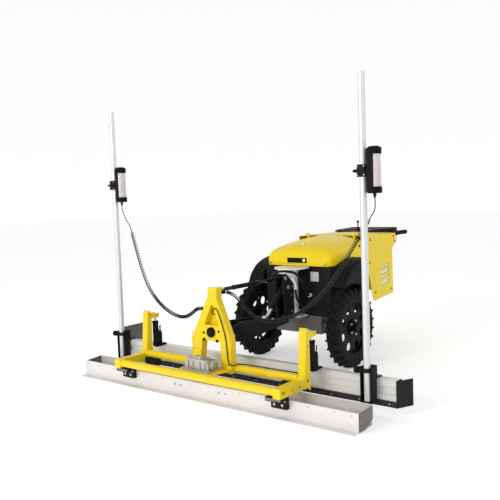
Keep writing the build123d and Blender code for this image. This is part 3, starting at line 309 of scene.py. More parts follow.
def add_tube(bm, points, radius, sides=10, shape=None):
    """A tube along points, with no twist; shape(share) scales the radius along it."""
    points = [Vector(p) for p in points]
    heading = (points[1] - points[0]).normalized()
    first, second = across(heading)
    rings = []
    for i, point in enumerate(points):
        ahead = (points[min(i + 1, len(points) - 1)] - points[max(i - 1, 0)]).normalized()
        turn = heading.rotation_difference(ahead)
        first = (turn @ first).normalized()
        second = (turn @ second).normalized()
        heading = ahead
        size = radius * (shape(i / (len(points) - 1)) if shape else 1)
        rings.append(add_circle(bm, point, first, second, size, sides))
    add_skin(bm, rings)
    add_caps(bm, rings)


def new_object(name, data):
    """An object for the data, linked to the scene."""
    thing = bpy.data.objects.new(name, data)
    bpy.context.scene.collection.objects.link(thing)
    return thing


def make_piece(name, bm, slot, body, bevel=0.0, segments=2, smooth=radians(35)):
    """A finished piece that rides on a body and wears a slot's material; bm is emptied for the next one."""
    bmesh.ops.recalc_face_normals(bm, faces=bm.faces)
    mesh = bpy.data.meshes.new(name)
    bm.to_mesh(mesh)
    bm.clear()
    piece = new_object(name, mesh)
    mesh.materials.append(MATERIALS[slot])
    if bevel:
        add_bevel(piece, bevel, segments)
    mesh.shade_smooth()
    mesh.set_sharp_from_angle(angle=smooth)
    if body:
        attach(piece, body)
    return piece


def add_bevel(piece, width, segments=2, angle=radians(40)):
    """Rounded edges on everything sharper than the angle."""
    modifier = piece.modifiers.new("rounded", "BEVEL")
    modifier.width = width
    modifier.segments = segments
    modifier.limit_method = "ANGLE"
    modifier.angle_limit = angle
    modifier.use_clamp_overlap = True
    modifier.harden_normals = True


def add_wall(piece, thickness):
    """A wall behind the faces of an open shell."""
    modifier = piece.modifiers.new("wall", "SOLIDIFY")
    modifier.thickness = thickness
    modifier.offset = -1


# ---------------------------------------------------------------- camera
def add_camera():
    """The photographed view, from the head's right-hand end, slightly above the machine."""
    azimuth = radians(38.526)
    elevation = radians(4.421)
    roll = radians(-1.965)
    back = Vector((sin(azimuth) * cos(elevation), -cos(azimuth) * cos(elevation), sin(elevation)))
    right = (-back).cross(Vector((0, 0, 1))).normalized()
    up = right.cross(-back)
    level = cos(roll) * right + sin(roll) * up
    lift = -sin(roll) * right + cos(roll) * up
    data = bpy.data.cameras.new("camera")
    data.lens = 47.96
    data.sensor_width = 36
    data.clip_end = 60
    camera = new_object("camera", data)
    place = Matrix((level, lift, back)).transposed().to_4x4()
    place.translation = Vector((2.8541, -3.0957, 1.2597))
    camera.matrix_world = place
    bpy.context.scene.camera = camera


add_camera()


# ---------------------------------------------------------------- cords
def smooth_line(points, resolution=12):
    """Points along one NURBS spline whose control points are the route."""
    data = bpy.data.curves.new("route", "CURVE")
    data.dimensions = "3D"
    spline = data.splines.new("NURBS")
    spline.points.add(len(points) - 1)
    for control, point in zip(spline.points, points):
        control.co = (*point, 1)
    spline.order_u = 3
    spline.use_endpoint_u = True
    spline.resolution_u = resolution
    holder = new_object("route", data)
    graph = bpy.context.evaluated_depsgraph_get()
    line = bpy.data.meshes.new_from_object(holder.evaluated_get(graph))
    found = [v.co.copy() for v in line.vertices]
    bpy.data.objects.remove(holder)
    bpy.data.curves.remove(data)
    bpy.data.meshes.remove(line)
    return found


def line_length(points):
    """Length of a chain of points."""
    return sum((b - a).length for a, b in zip(points, points[1:]))


def walk(points, step):
    """Points every step along a chain, as (point, heading)."""
    total = line_length(points)
    count = max(2, ceil(total / step))
    found = []
    index = 0
    passed = 0.0
    for i in range(count + 1):
        target = total * i / count
        run = (points[index + 1] - points[index]).length
        while index < len(points) - 2 and passed + run < target:
            passed += run
            index += 1
            run = (points[index + 1] - points[index]).length
        share = min(1.0, (target - passed) / run)
        heading = (points[index + 1] - points[index]).normalized()
        found.append((points[index].lerp(points[index + 1], share), heading))
    return found


TURN_POINTS = 14


def helix(points, radius, pitch, ease):
    """A coil of that radius round the line, which opens from it and closes to it over the ease length."""
    steps = walk(points, pitch / TURN_POINTS)
    total = line_length(points)
    first, second = across(steps[0][1])
    before = steps[0][1]
    coil = []
    angle = 0.0
    for i, (point, heading) in enumerate(steps):
        turn = before.rotation_difference(heading)
        first = (turn @ first).normalized()
        second = (turn @ second).normalized()
        before = heading
        along = total * i / (len(steps) - 1)
        share = min(1.0, along / ease, (total - along) / ease)
        opened = share * share * (3 - 2 * share)
        size = radius * opened
        angle += tau * opened / TURN_POINTS
        coil.append(point + (first * cos(angle) + second * sin(angle)) * size)
    return coil


def millimetres(*points):
    """Route points written in millimetres, as metres."""
    return [tuple(value / 1000 for value in point) for point in points]


LEAD_DIAMETER = 0.006
COIL_RADIUS = 0.0098
COIL_PITCH = 0.0125
LEFT_LEAD = millimetres(
    (-975, 204, 1239), (-975, 204, 1204), (-951, 203, 1164), (-926, 201, 1124), (-892, 198, 1092),
    (-874, 196, 1060))
LEFT_CURL = millimetres(
    (-874, 196, 1060), (-848, 194, 985), (-820, 192, 905), (-788, 189, 822), (-742, 184, 722),
    (-680, 178, 622), (-590, 169, 545), (-480, 157, 490), (-372, 145, 464), (-290, 134, 472),
    (-232, 126, 500), (-188, 119, 530), (-150, 113, 546), (-114, 108, 546))
RIGHT_LEAD = millimetres(
    (1115, 204, 1239), (1115, 205, 1210), (1110, 214, 1180), (1092, 230, 1160), (1066, 244, 1136))
RIGHT_CURL = millimetres(
    (1066, 244, 1136), (1026, 251, 1082), (978, 251, 1010), (926, 247, 934), (878, 242, 852),
    (816, 236, 764), (740, 229, 676), (640, 219, 592), (530, 209, 524), (418, 200, 492), (330, 192, 490),
    (262, 184, 510), (208, 176, 552), (168, 168, 596), (142, 161, 630), (112, 155, 650), (78, 152, 661),
    (42, 152, 661))


def curly_cord(name, lead, curl, nodes):
    """A plain lead that runs into a stretched spiral and plugs into the tower."""
    line = smooth_line(lead + curl[1:])
    lead_length = line_length(smooth_line(lead))
    passed = 0.0
    split = 0
    while passed < lead_length:
        passed += (line[split + 1] - line[split]).length
        split += 1
    coil = helix(line[split:], COIL_RADIUS, COIL_PITCH, 0.03)
    path = line[:split] + coil
    bm = bmesh.new()
    add_tube(bm, path, LEAD_DIAMETER / 2, 8)
    piece = make_piece(name, bm, "cable_jacket", None)
    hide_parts(*nodes)
    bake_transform(piece)
    return piece


curly_cord("left_receiver_cord", LEFT_LEAD, LEFT_CURL, ["left_lead", "left_curly_cord"])
curly_cord("right_receiver_cord", RIGHT_LEAD, RIGHT_CURL,
           ["right_lead", "right_curly_cord"])

HOSE_DIAMETER = 0.018
FRONT_HOSE = millimetres(
    (-42, 900, 606), (-72, 900, 606), (-122, 904, 628), (-134, 911, 662), (-112, 920, 694), (-64, 927, 708),
    (0, 930, 710), (64, 938, 700), (96, 956, 654), (108, 978, 596), (112, 1002, 546), (112, 1030, 522),
    (112, 1060, 522))


def front_hose():
    """The hydraulic hose that arches over the front of the post."""
    path = [point for point, _ in walk(smooth_line(FRONT_HOSE), 0.006)]
    bm = bmesh.new()
    add_tube(bm, path, HOSE_DIAMETER / 2, 16)
    piece = make_piece("front_hydraulic_hose", bm, "cable_jacket", "tractor")
    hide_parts("front_hose")


front_hose()


# ---------------------------------------------------------------- wheels
WHEEL_X = 0.414
WHEEL_Y = 1.115
WHEEL_RADIUS = 0.296
LUG_BASE = 0.279
LUGS = 26
CARCASS = [(-0.036, 0.199), (-0.045, 0.212), (-0.0465, 0.245), (-0.041, 0.268), (-0.028, LUG_BASE),
           (0.028, LUG_BASE), (0.041, 0.268), (0.0465, 0.245), (0.045, 0.212), (0.036, 0.199)]


def wheel_point(centre, along, radius, turn):
    """A point on a wheel: along its axle, out from it, and round it."""
    return Vector((centre + along, WHEEL_Y + radius * cos(turn), WHEEL_RADIUS + radius * sin(turn)))


def add_lug(bm, centre, side, turn):
    """One chevron bar: from the crown to the shoulder and down the side wall."""
    path = [(0.002, LUG_BASE, 0.0), (0.022, LUG_BASE - 0.001, 0.045), (0.036, 0.271, 0.082),
            (0.0445, 0.250, 0.092), (0.0455, 0.228, 0.096)]
    tops = [(0.002, WHEEL_RADIUS - 0.001), (0.024, WHEEL_RADIUS - 0.001), (0.043, 0.287), (0.050, 0.262),
            (0.0485, 0.230)]
    half = 0.026
    rows = []
    for (along, radius, lead), (top_along, top_radius) in zip(path, tops):
        corners = ((along, radius - 0.002, -half), (top_along, top_radius, -half * 0.8),
                   (top_along, top_radius, half * 0.8), (along, radius - 0.002, half))
        rows.append([bm.verts.new(wheel_point(centre, side * a, r, turn + lead + w)) for a, r, w in corners])
    add_skin(bm, rows)
    bm.faces.new(rows[0])
    bm.faces.new(rows[-1])


def add_wheel(name, side):
    """Lugged tyre, rim flanges, hub cap, wheel nuts and valve."""
    centre = side * WHEEL_X
    bm = bmesh.new()
    add_ring(bm, (centre, WHEEL_Y, WHEEL_RADIUS), RIGHT, CARCASS, 104)
    for i in range(LUGS):
        turn = tau * i / LUGS
        add_lug(bm, centre, 1, turn)
        add_lug(bm, centre, -1, turn + pi / LUGS)
    tyre = make_piece(f"{name}_lugged_tyre", bm, "tyre", f"{name}_wheel", smooth=radians(28))
    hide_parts(f"{name}_tyre")
    for edge in (-0.036, 0.036):
        add_ring(bm, (centre + edge, WHEEL_Y, WHEEL_RADIUS), RIGHT,
                 [(-0.003, 0.186), (-0.003, 0.205), (0.003, 0.205), (0.003, 0.186)], 72)
    face = centre + side * 0.030
    add_lathe(bm, (face, WHEEL_Y, WHEEL_RADIUS), (side, 0, 0),
              [(0.014, 0.030), (0.026, 0.029), (0.031, 0.024), (0.033, 0.012)], 36)
    make_piece(f"{name}_rim_flanges", bm, "black_paint", f"{name}_wheel", 0.001)
    for i in range(5):
        nut = wheel_point(face, 0, 0.051, tau * i / 5)
        add_bolt(bm, nut, (side, 0, 0), 0.009, 0.009)
    stem = wheel_point(centre, side * 0.028, 0.176, 0.2)
    add_lathe(bm, stem, (side, 0, 0), [(0, 0.004), (0.012, 0.004), (0.016, 0.0028), (0.018, 0.0028)], 12)
    make_piece(f"{name}_wheel_nuts", bm, "zinc_steel", f"{name}_wheel", 0.0005)


for name_and_side in SIDES:
    add_wheel(*name_and_side)


# ---------------------------------------------------------------- hood and body
def through(points, steps):
    """A smooth line through the points, with that many steps between each pair."""
    points = [Vector(p) for p in points]
    padded = [points[0] * 2 - points[1], *points, points[-1] * 2 - points[-2]]
    found = []
    for a, b, c, d in zip(padded, padded[1:], padded[2:], padded[3:]):
        for i in range(steps):
            t = i / steps
            found.append(0.5 * (b * 2 + (c - a) * t + (a * 2 - b * 5 + c * 4 - d) * t ** 2
                                + (b * 3 - a - c * 3 + d) * t ** 3))
    found.append(points[-1])
    return found


HOOD_FRONT = 1.0565
HOOD_REAR = 1.560
HOOD_BOTTOM = 0.740
HOOD_STATIONS = [(HOOD_FRONT, 0.250, 0.788, 0.804), (1.062, 0.264, 0.802, 0.820),
                 (1.095, 0.288, 0.841, 0.861), (1.205, 0.300, 0.868, 0.905), (1.375, 0.300, 0.888, 0.931),
                 (HOOD_REAR, 0.304, 0.903, 0.9445)]


def hood_section(y, half, shoulder, crown):
    """One rounded cross-section of the hood, from its left lower edge to its right one."""
    rise = crown - shoulder
    right = [(half, HOOD_BOTTOM), (half, (HOOD_BOTTOM + shoulder) / 2), (half * 0.995, shoulder - 0.040),
             (half * 0.955, shoulder - 0.014), (half * 0.86, shoulder + rise * 0.06),
             (half * 0.62, shoulder + rise * 0.52), (half * 0.3, shoulder + rise * 0.88), (0, crown)]
    line = through([(x, 0, z) for x, z in right], 5)
    return [Vector((-p.x, y, p.z)) for p in line] + [Vector((p.x, y, p.z)) for p in reversed(line[:-1])]


def add_hood():
    """The crowned hood shell with its hinge tabs, lamp, latch and studs."""
    stations = through([Vector(s[:3]) for s in HOOD_STATIONS], 5)
    crowns = through([Vector((s[0], s[3], 0)) for s in HOOD_STATIONS], 5)
    bm = bmesh.new()
    rows = [[bm.verts.new(p) for p in hood_section(s.x, s.y, s.z, c.y)] for s, c in zip(stations, crowns)]
    add_skin(bm, rows, closed=False)
    bm.faces.new(rows[0])
    hood = make_piece("hood_shell", bm, "yellow_paint", "hood", smooth=radians(50))
    add_wall(hood, 0.004)
    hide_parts("hood")
    for side in (-1, 1):
        add_side_box(bm, side, 0.206, 0.222, (HOOD_REAR - 0.016, 0.905), (HOOD_REAR + 0.003, 0.954))
        add_lathe(bm, (side * 0.206, HOOD_REAR, 0.951), (side, 0, 0), [(0, 0.003), (0.048, 0.003)], 16)
    add_box(bm, (-0.238, HOOD_FRONT - 0.0015, HOOD_BOTTOM), (0.238, HOOD_FRONT + 0.006, HOOD_BOTTOM + 0.014))
    make_piece("hood_trim", bm, "yellow_paint", "hood", 0.0015)
    # lamp in the nose: frame, dark recess and a small bright latch
    y = HOOD_FRONT - 0.0035
    for low, high in (((-0.088, 0.762), (0.088, 0.766)), ((-0.088, 0.7955), (0.088, 0.7995)),
                      ((-0.088, 0.766), (-0.084, 0.7955)), ((0.084, 0.766), (0.088, 0.7955))):
        add_box(bm, (low[0], y, low[1]), (high[0], HOOD_FRONT + 0.002, high[1]))
    add_box(bm, (-0.084, HOOD_FRONT - 0.0008, 0.766), (0.084, HOOD_FRONT + 0.001, 0.7955))
    for i in range(7):
        x = -0.074 + i * 0.018
        add_box(bm, (x, HOOD_FRONT - 0.0025, 0.767), (x + 0.002, HOOD_FRONT, 0.795))
    make_piece("hood_lamp", bm, "black_plastic", "hood", 0.0008)
    add_lathe(bm, (0.064, HOOD_FRONT, 0.781), FRONT, [(0, 0.013), (0.006, 0.013), (0.008, 0.010)], 24)
    knob = [(0, 0.007), (0.012, 0.007), (0.014, 0.012), (0.022, 0.012), (0.025, 0.009)]
    add_lathe(bm, (0, 1.150, 0.880), UP, knob, 24)
    make_piece("hood_latch", bm, "chrome_rod", "hood", 0.0005)
    add_on_both_sides(bm, 0.3015, ((1.480, 0.862), (1.470, 0.770)),
                      [(-0.001, 0.008), (0.0035, 0.008), (0.0048, 0.006)])
    make_piece("hood_studs", bm, "black_plastic", "hood")


add_hood()

FENDER_LINE = [(1.006, 0.600), (1.031, 0.660), (1.066, 0.702), (1.100, 0.731), (1.141, 0.753),
               (1.190, 0.771), (1.250, 0.784), (1.338, 0.790)]
MOUTH_RADIUS = 0.318


def add_fender(name, side):
    """Rounded wheel cover with an open mouth over the tyre."""
    crown = through([Vector((0, y, z)) for y, z in FENDER_LINE], 4)
    bm = bmesh.new()
    rows = []
    for point in crown:
        mouth = WHEEL_RADIUS + (MOUTH_RADIUS ** 2 - (point.y - WHEEL_Y) ** 2) ** 0.5
        mouth = min(mouth, point.z - 0.001)
        drop = min(0.026, (point.z - mouth) * 0.8)
        section = [(0.304, mouth), (0.304, point.z - drop * 0.3), (0.308, point.z)]
        section += [(0.414 + 0.026 * sin(radians(a)), point.z - drop * (1 - cos(radians(a))))
                    for a in range(0, 91, 15)]
        section += [(0.440, (point.z - drop + mouth) / 2), (0.440, mouth)]
        rows.append([bm.verts.new((side * x, point.y, z)) for x, z in section])
    add_skin(bm, rows, closed=False)
    bm.faces.new(rows[-1])
    add_side_box(bm, side, 0.292, 0.305, (1.080, 0.700), (1.318, 0.736))
    fender = make_piece(f"{name}_fender_shell", bm, "black_plastic", "tractor", smooth=radians(50))
    add_wall(fender, 0.0035)
    return fender


fenders = [add_fender(*name_and_side) for name_and_side in SIDES]
for fender in fenders:
    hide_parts("fenders")

PANEL_X = 0.322
LOUVRES = ((0.538, 0.046), (0.582, 0.024), (0.626, 0.044), (0.668, 0.024))


def add_body_details():
    """Blank plates, pale louvre inserts that are painted light for the brightness showing through the
    louvres, screws, louvre hoods and cooling ribs on the tractor's body.
    """
    bm = bmesh.new()
    for x, z, half_x, half_z in ((-0.145, 0.687, 0.036, 0.017), (0.152, 0.662, 0.036, 0.036)):
        add_box(bm, (x - half_x, 1.0575, z - half_z), (x + half_x, 1.0615, z + half_z))
    # painted light: pale silver inserts behind the louvre slots stand for the bright light that shows
    # through the louvres
    for side in (-1, 1):
        for z, height in LOUVRES:
            half = height * 0.55
            add_side_box(bm, side, PANEL_X - 0.010, PANEL_X - 0.0055, (1.782, z - half), (1.948, z + half))
    make_piece("blank_plates_and_painted_light_louvre_inserts", bm, "mast_silver", "tractor", 0.001)
    corners = ((1.615, 0.900), (2.020, 0.905), (2.040, 0.860), (1.960, 0.470), (1.690, 0.470),
               (1.600, 0.720))
    add_on_both_sides(bm, PANEL_X, corners, [(-0.001, 0.0075), (0.003, 0.0075), (0.0042, 0.0055)])
    button_head = [(0, 0.007), (0.003, 0.007), (0.004, 0.005)]
    for x in (-0.255, -0.06, 0.06, 0.255):
        for z in (0.400, 0.560, 0.715):
            add_lathe(bm, (x, 1.060, z), FRONT, button_head, 16)
    corners = ((1.420, 0.700), (1.560, 0.700), (1.420, 0.420), (1.560, 0.420), (1.100, 0.420))
    add_on_both_sides(bm, 0.292, corners, button_head, 16)
    make_piece("body_screws", bm, "black_plastic", "tractor")
    # pressed louvre hoods on the lower body's sides
    for side in (-1, 1):
        for i in range(6):
            z = 0.470 + i * 0.030
            add_side_box(bm, side, 0.2915, 0.298, (1.440, z), (1.570, z + 0.012))
    for i in range(9):
        x = -0.120 + i * 0.030
        add_box(bm, (x - 0.010, 2.000, 0.560), (x + 0.010, 2.0065, 0.760))
    make_piece("cooling_ribs", bm, "black_paint", "tractor", 0.003)


add_body_details()


# ---------------------------------------------------------------- controls
CONSOLE_REAR = 2.152
HANDLE_X = 0.276
HANDLE_Z = 0.922
DIAL_Z = 0.938


def add_controls():
    """Ribbed grips, switches, key switch, gauge, stop button collar and lever boot."""
    bm = bmesh.new()
    for side in (-1, 1):
        x = side * HANDLE_X
        profile = [(0, 0.019), (0.004, 0.0195)]
        for i in range(16):
            along = 0.010 + i * 0.0085
            profile += [(along, 0.0165), (along + 0.003, 0.0165), (along + 0.0038, 0.0182),
                        (along + 0.0076, 0.0182)]
        profile += [(0.149, 0.0165), (0.150, 0.0195), (0.153, 0.019), (0.155, 0.015)]
        add_lathe(bm, (x, CONSOLE_REAR + 0.042, HANDLE_Z), REAR, profile, 32)
    make_piece("grips", bm, "rubber", "tractor")
    add_lathe(bm, (0, CONSOLE_REAR, DIAL_Z), REAR, [(0, 0.026), (0.006, 0.026), (0.008, 0.024)], 36)
    add_lathe(bm, (-0.110, CONSOLE_REAR, DIAL_Z), REAR, [(0, 0.013), (0.007, 0.013), (0.009, 0.010)], 24)
    for x in (-0.200, -0.165, 0.090, 0.125):
        add_box(bm, (x - 0.010, CONSOLE_REAR - 0.001, 0.925), (x + 0.010, CONSOLE_REAR + 0.004, 0.952))
        add_box(bm, (x - 0.006, CONSOLE_REAR + 0.003, 0.938), (x + 0.006, CONSOLE_REAR + 0.009, 0.949))
    for side in (-1, 1):
        x = side * HANDLE_X
        add_lathe(bm, (x, CONSOLE_REAR - 0.001, HANDLE_Z), REAR,
                  [(0, 0.024), (0.008, 0.024), (0.014, 0.018), (0.030, 0.0165)], 28)
    make_piece("switches", bm, "black_plastic", "tractor", 0.0008)
    add_lathe(bm, (0, CONSOLE_REAR + 0.008, DIAL_Z), REAR, [(0, 0.0215), (0.001, 0.0215)], 36)
    make_piece("gauge_face", bm, "mast_silver", "tractor")
    for x, y, z in ((-0.130, 1.975, 0.958), (0.130, 1.975, 0.958), (0.272, 2.125, 0.972)):
        add_lathe(bm, (x, y, z), UP, [(0, 0.006), (0.004, 0.006), (0.005, 0.0045)], 16)
    add_lathe(bm, (-0.110, CONSOLE_REAR + 0.009, DIAL_Z), REAR, [(0, 0.006), (0.002, 0.006)], 20)
    add_box(bm, (-0.1115, CONSOLE_REAR + 0.010, 0.931), (-0.1085, CONSOLE_REAR + 0.028, 0.945))
    make_piece("console_fixings", bm, "zinc_steel", "tractor", 0.0004)
    add_ring(bm, (0.200, CONSOLE_REAR - 0.001, 0.950), REAR,
             [(0, 0.0185), (0, 0.024), (0.003, 0.024), (0.004, 0.022), (0.004, 0.0185)], 36)
    make_piece("stop_button_collar", bm, "mast_silver", "tractor")
    profile = [(0, 0.011), (0.003, 0.0125), (0.006, 0.0095), (0.009, 0.0115), (0.012, 0.0085),
               (0.015, 0.0100), (0.018, 0.0070), (0.021, 0.0065)]
    add_lathe(bm, (0, 2.0, 0.9625), UP, profile, 28)
    make_piece("lever_boot", bm, "rubber", "drive_lever")


add_controls()


# ---------------------------------------------------------------- head frame
SIDE_INNER = 0.648
SIDE_OUTER = 0.698
FRONT_TUBE = (-0.137, 0.165)
REAR_TUBE = (0.095, 0.188)
TUBE_RADIUS = 0.025
TOWER_LEAN = radians(4.5)


def on_tower(x, height, out):
    """A point that far up the tower's leaning front face, and that far out from it."""
    return Vector((x, 0.042 + height * sin(TOWER_LEAN) - out * cos(TOWER_LEAN),
                   0.186 + height * cos(TOWER_LEAN) + out * sin(TOWER_LEAN)))


TOWER_OUT = on_tower(0, 0, 1) - on_tower(0, 0, 0)


def ring_line(centre, axis, radius, start=0.0, sweep=tau, count=40):
    """Points round a circle, or part of one."""
    first, second = across(axis)
    turns = [start + sweep * i / count for i in range(count + 1)]
    return [Vector(centre) + (first * cos(t) + second * sin(t)) * radius for t in turns]


def add_weld(bm, points, size=0.0032):
    """A rippled weld bead along points."""
    total = line_length([Vector(p) for p in points])
    steps = walk([Vector(p) for p in points], 0.0016)
    ripples = total / 0.0045
    add_tube(bm, [p for p, _ in steps], size, 8, lambda share: 0.88 + 0.12 * abs(sin(pi * ripples * share)))


def add_frame_details():
    """Welds, bolts, holes and raised edges on the yellow frame."""
    bm = bmesh.new()
    for side in (-1, 1):
        for y, z in (FRONT_TUBE, REAR_TUBE):
            add_weld(bm, ring_line((side * (SIDE_INNER - 0.001), y, z), RIGHT, TUBE_RADIUS + 0.001))
        add_weld(bm, ring_line((side * 0.173, *REAR_TUBE), RIGHT, TUBE_RADIUS + 0.001))
        add_weld(bm, [(side * 0.170, 0.021, 0.187), (side * 0.139, -0.125, 0.187)])
        for height in (0.020, 0.150):
            foot = on_tower(side * 0.1705, height, -0.004)
            add_weld(bm, [foot, on_tower(side * 0.1685, height + 0.07, -0.004)], 0.0025)
    for x in (-0.150, 0.150):
        add_weld(bm, ring_line((x, *FRONT_TUBE), RIGHT, TUBE_RADIUS + 0.001))
    make_piece("frame_welds", bm, "yellow_paint", "head")
    for side in (-1, 1):
        face = side * SIDE_OUTER
        for y, z in ((-0.040, 0.163), (0.030, 0.163), (0.131, 0.300), (0.131, 0.380)):
            add_bolt(bm, (face, y, z), (side, 0, 0), 0.0065)
        add_bolt(bm, (side * 0.408, REAR_TUBE[0], REAR_TUBE[1] + 0.0255), UP, 0.0055)
    for x in (-0.148, 0.148):
        for height in (0.030, 0.105):
            add_bolt(bm, on_tower(x, height, 0), TOWER_OUT, 0.0065)
    for x in (-0.020, 0.020):
        add_bolt(bm, on_tower(x, 0.470, 0), TOWER_OUT, 0.0050)
    make_piece("frame_bolts", bm, "zinc_steel", "head", 0.0005)
    for x, height in ((-0.066, 0.215), (0.062, 0.232)):
        add_lathe(bm, on_tower(x, height, 0), TOWER_OUT, [(-0.001, 0.0085), (0.0008, 0.0085)], 24)
    for x in (-0.060, 0.052):
        add_lathe(bm, on_tower(x, 0.171, -0.004), TOWER_OUT, [(0, 0.010), (0.010, 0.010), (0.014, 0.007)],
                  20)
    add_on_both_sides(bm, SIDE_OUTER + 0.0004, ((-0.137, 0.165), (0.118, 0.178)),
                      [(-0.001, 0.0075), (0.0005, 0.0075)])
    for side in (-1, 1):
        add_side_box(bm, side, SIDE_INNER + 0.009, SIDE_OUTER - 0.009, (0.196, 0.4405), (0.2125, 0.4475))
    make_piece("frame_holes", bm, "black_plastic", "head")
    # raised lips along the tower's legs and a folded edge on each upright
    for side in (-1, 1):
        legs = [on_tower(side * 0.165, 0.004, 0), on_tower(side * 0.159, 0.165, 0),
                on_tower(side * 0.146, 0.214, 0), on_tower(side * 0.044, 0.424, 0),
                on_tower(side * 0.034, 0.446, 0), on_tower(side * 0.034, 0.506, 0)]
        add_tube(bm, legs, 0.0030, 8)
        for x in (side * (SIDE_INNER + 0.003), side * (SIDE_OUTER - 0.003)):
            add_tube(bm, [(x, 0.105, 0.215), (x, 0.112, 0.470), (x, 0.128, 0.486)], 0.0035, 8)
    make_piece("frame_lips", bm, "yellow_paint", "head")


add_frame_details()

EXCITER_Y = -0.046
EXCITER_TOP = 0.262
EXCITER_AXIS_Z = 0.224


def add_exciter_details():
    """Ribs, end covers, bolts and the supply lead of the cast exciter."""
    bm = bmesh.new()
    for side in (-1, 1):
        for way in (-1, 1):
            outline = [(0.088, way * 0.040, -0.012), (0.074, way * 0.040, -0.006),
                       (0.010, way * -0.006, -0.001), (0.010, way * 0.006, -0.001)]
            add_prism(bm, [(side * x, EXCITER_Y + y, EXCITER_TOP + z) for x, y, z in outline], (0, 0, 0.011))
        add_lathe(bm, (side * 0.0995, EXCITER_Y, EXCITER_AXIS_Z), (side, 0, 0),
                  [(0, 0.036), (0.006, 0.036), (0.008, 0.033), (0.012, 0.020), (0.014, 0.018)], 40)
        for x in (side * 0.030, side * 0.070):
            for y in (EXCITER_Y - 0.053, EXCITER_Y + 0.045):
                add_box(bm, (x - 0.0035, y, 0.200), (x + 0.0035, y + 0.008, 0.250))
    add_lathe(bm, (0, EXCITER_Y, EXCITER_TOP - 0.001), UP, [(0, 0.026), (0.010, 0.026), (0.012, 0.023)], 40)
    make_piece("exciter_ribs", bm, "cast_aluminium", "head", 0.0015, 3)
    quarters = [tau * (i + 0.5) / 4 for i in range(4)]
    for side in (-1, 1):
        for y in (EXCITER_Y - 0.054, EXCITER_Y + 0.054):
            for x in (0.050, 0.106):
                add_bolt(bm, (side * x, y, 0.200), UP, 0.0052)
        for turn in quarters:
            place = (side * 0.1055, EXCITER_Y + 0.028 * cos(turn), EXCITER_AXIS_Z + 0.028 * sin(turn))
            add_bolt(bm, place, (side, 0, 0), 0.0032)
    for turn in quarters:
        add_bolt(bm, (0.018 * cos(turn), EXCITER_Y + 0.018 * sin(turn), EXCITER_TOP + 0.0105), UP, 0.0028)
    make_piece("exciter_bolts", bm, "zinc_steel", "head", 0.0004)
    plug_y = EXCITER_Y + 0.004
    supply = smooth_line([(-0.113, plug_y, EXCITER_AXIS_Z), (-0.128, plug_y, EXCITER_AXIS_Z),
                          (-0.140, EXCITER_Y + 0.020, 0.222), (-0.142, 0.010, 0.216),
                          (-0.142, 0.030, 0.216)], 8)
    add_tube(bm, supply, 0.0045, 10)
    make_piece("exciter_supply", bm, "cable_jacket", "head")


add_exciter_details()


def add_board_details():
    """Inner ribs, rivets and end bolts of the vibrating board, and the layers of its mounts."""
    bm = bmesh.new()
    for i in range(7):
        x = -0.99 + i * 0.33
        outline = ((-0.071, 0.006), (0.071, 0.006), (0.071, 0.075), (0.045, 0.030), (-0.045, 0.030),
                   (-0.071, 0.070))
        add_prism(bm, [(x - 0.003, y, z) for y, z in outline], (0.006, 0, 0))
    make_piece("board_ribs", bm, "board_aluminium", "head", 0.001)
    for side in (-1, 1):
        for x in (0.33, 0.495, 0.82, 0.99, 1.10):
            add_lathe(bm, (side * x, -0.0755, 0.090), FRONT,
                      [(0, 0.0045), (0.0022, 0.0040), (0.003, 0.0025)], 16)
        for y in (-0.055, 0.045):
            add_bolt(bm, (side * 1.145, y, 0.060), (side, 0, 0), 0.0045)
    make_piece("board_rivets", bm, "zinc_steel", "head", 0.0003)
    for side in (-1, 1):
        for x in (side * 0.600, side * 0.680):
            add_box(bm, (x - 0.010, -0.1015, 0.100), (x + 0.010, -0.0995, 0.128))
        span = sorted((side * 0.600, side * 0.680))
        for z in (0.118, 0.126):
            add_box(bm, (span[0] - 0.014, -0.158, z), (span[1] + 0.014, -0.080, z + 0.003))
    make_piece("mount_layers", bm, "zinc_steel", "head", 0.0005)


add_board_details()


# ---------------------------------------------------------------- plough, masts and receivers
MAST_X = 1.045
MAST_Y = 0.204
RECEIVER_OFFSET = 0.070
RECEIVER_Z = (1.265, 1.515)
ACTUATOR_X = 0.673
ACTUATOR_TOP = 0.444
SLEEVE_Y = MAST_Y + 0.038


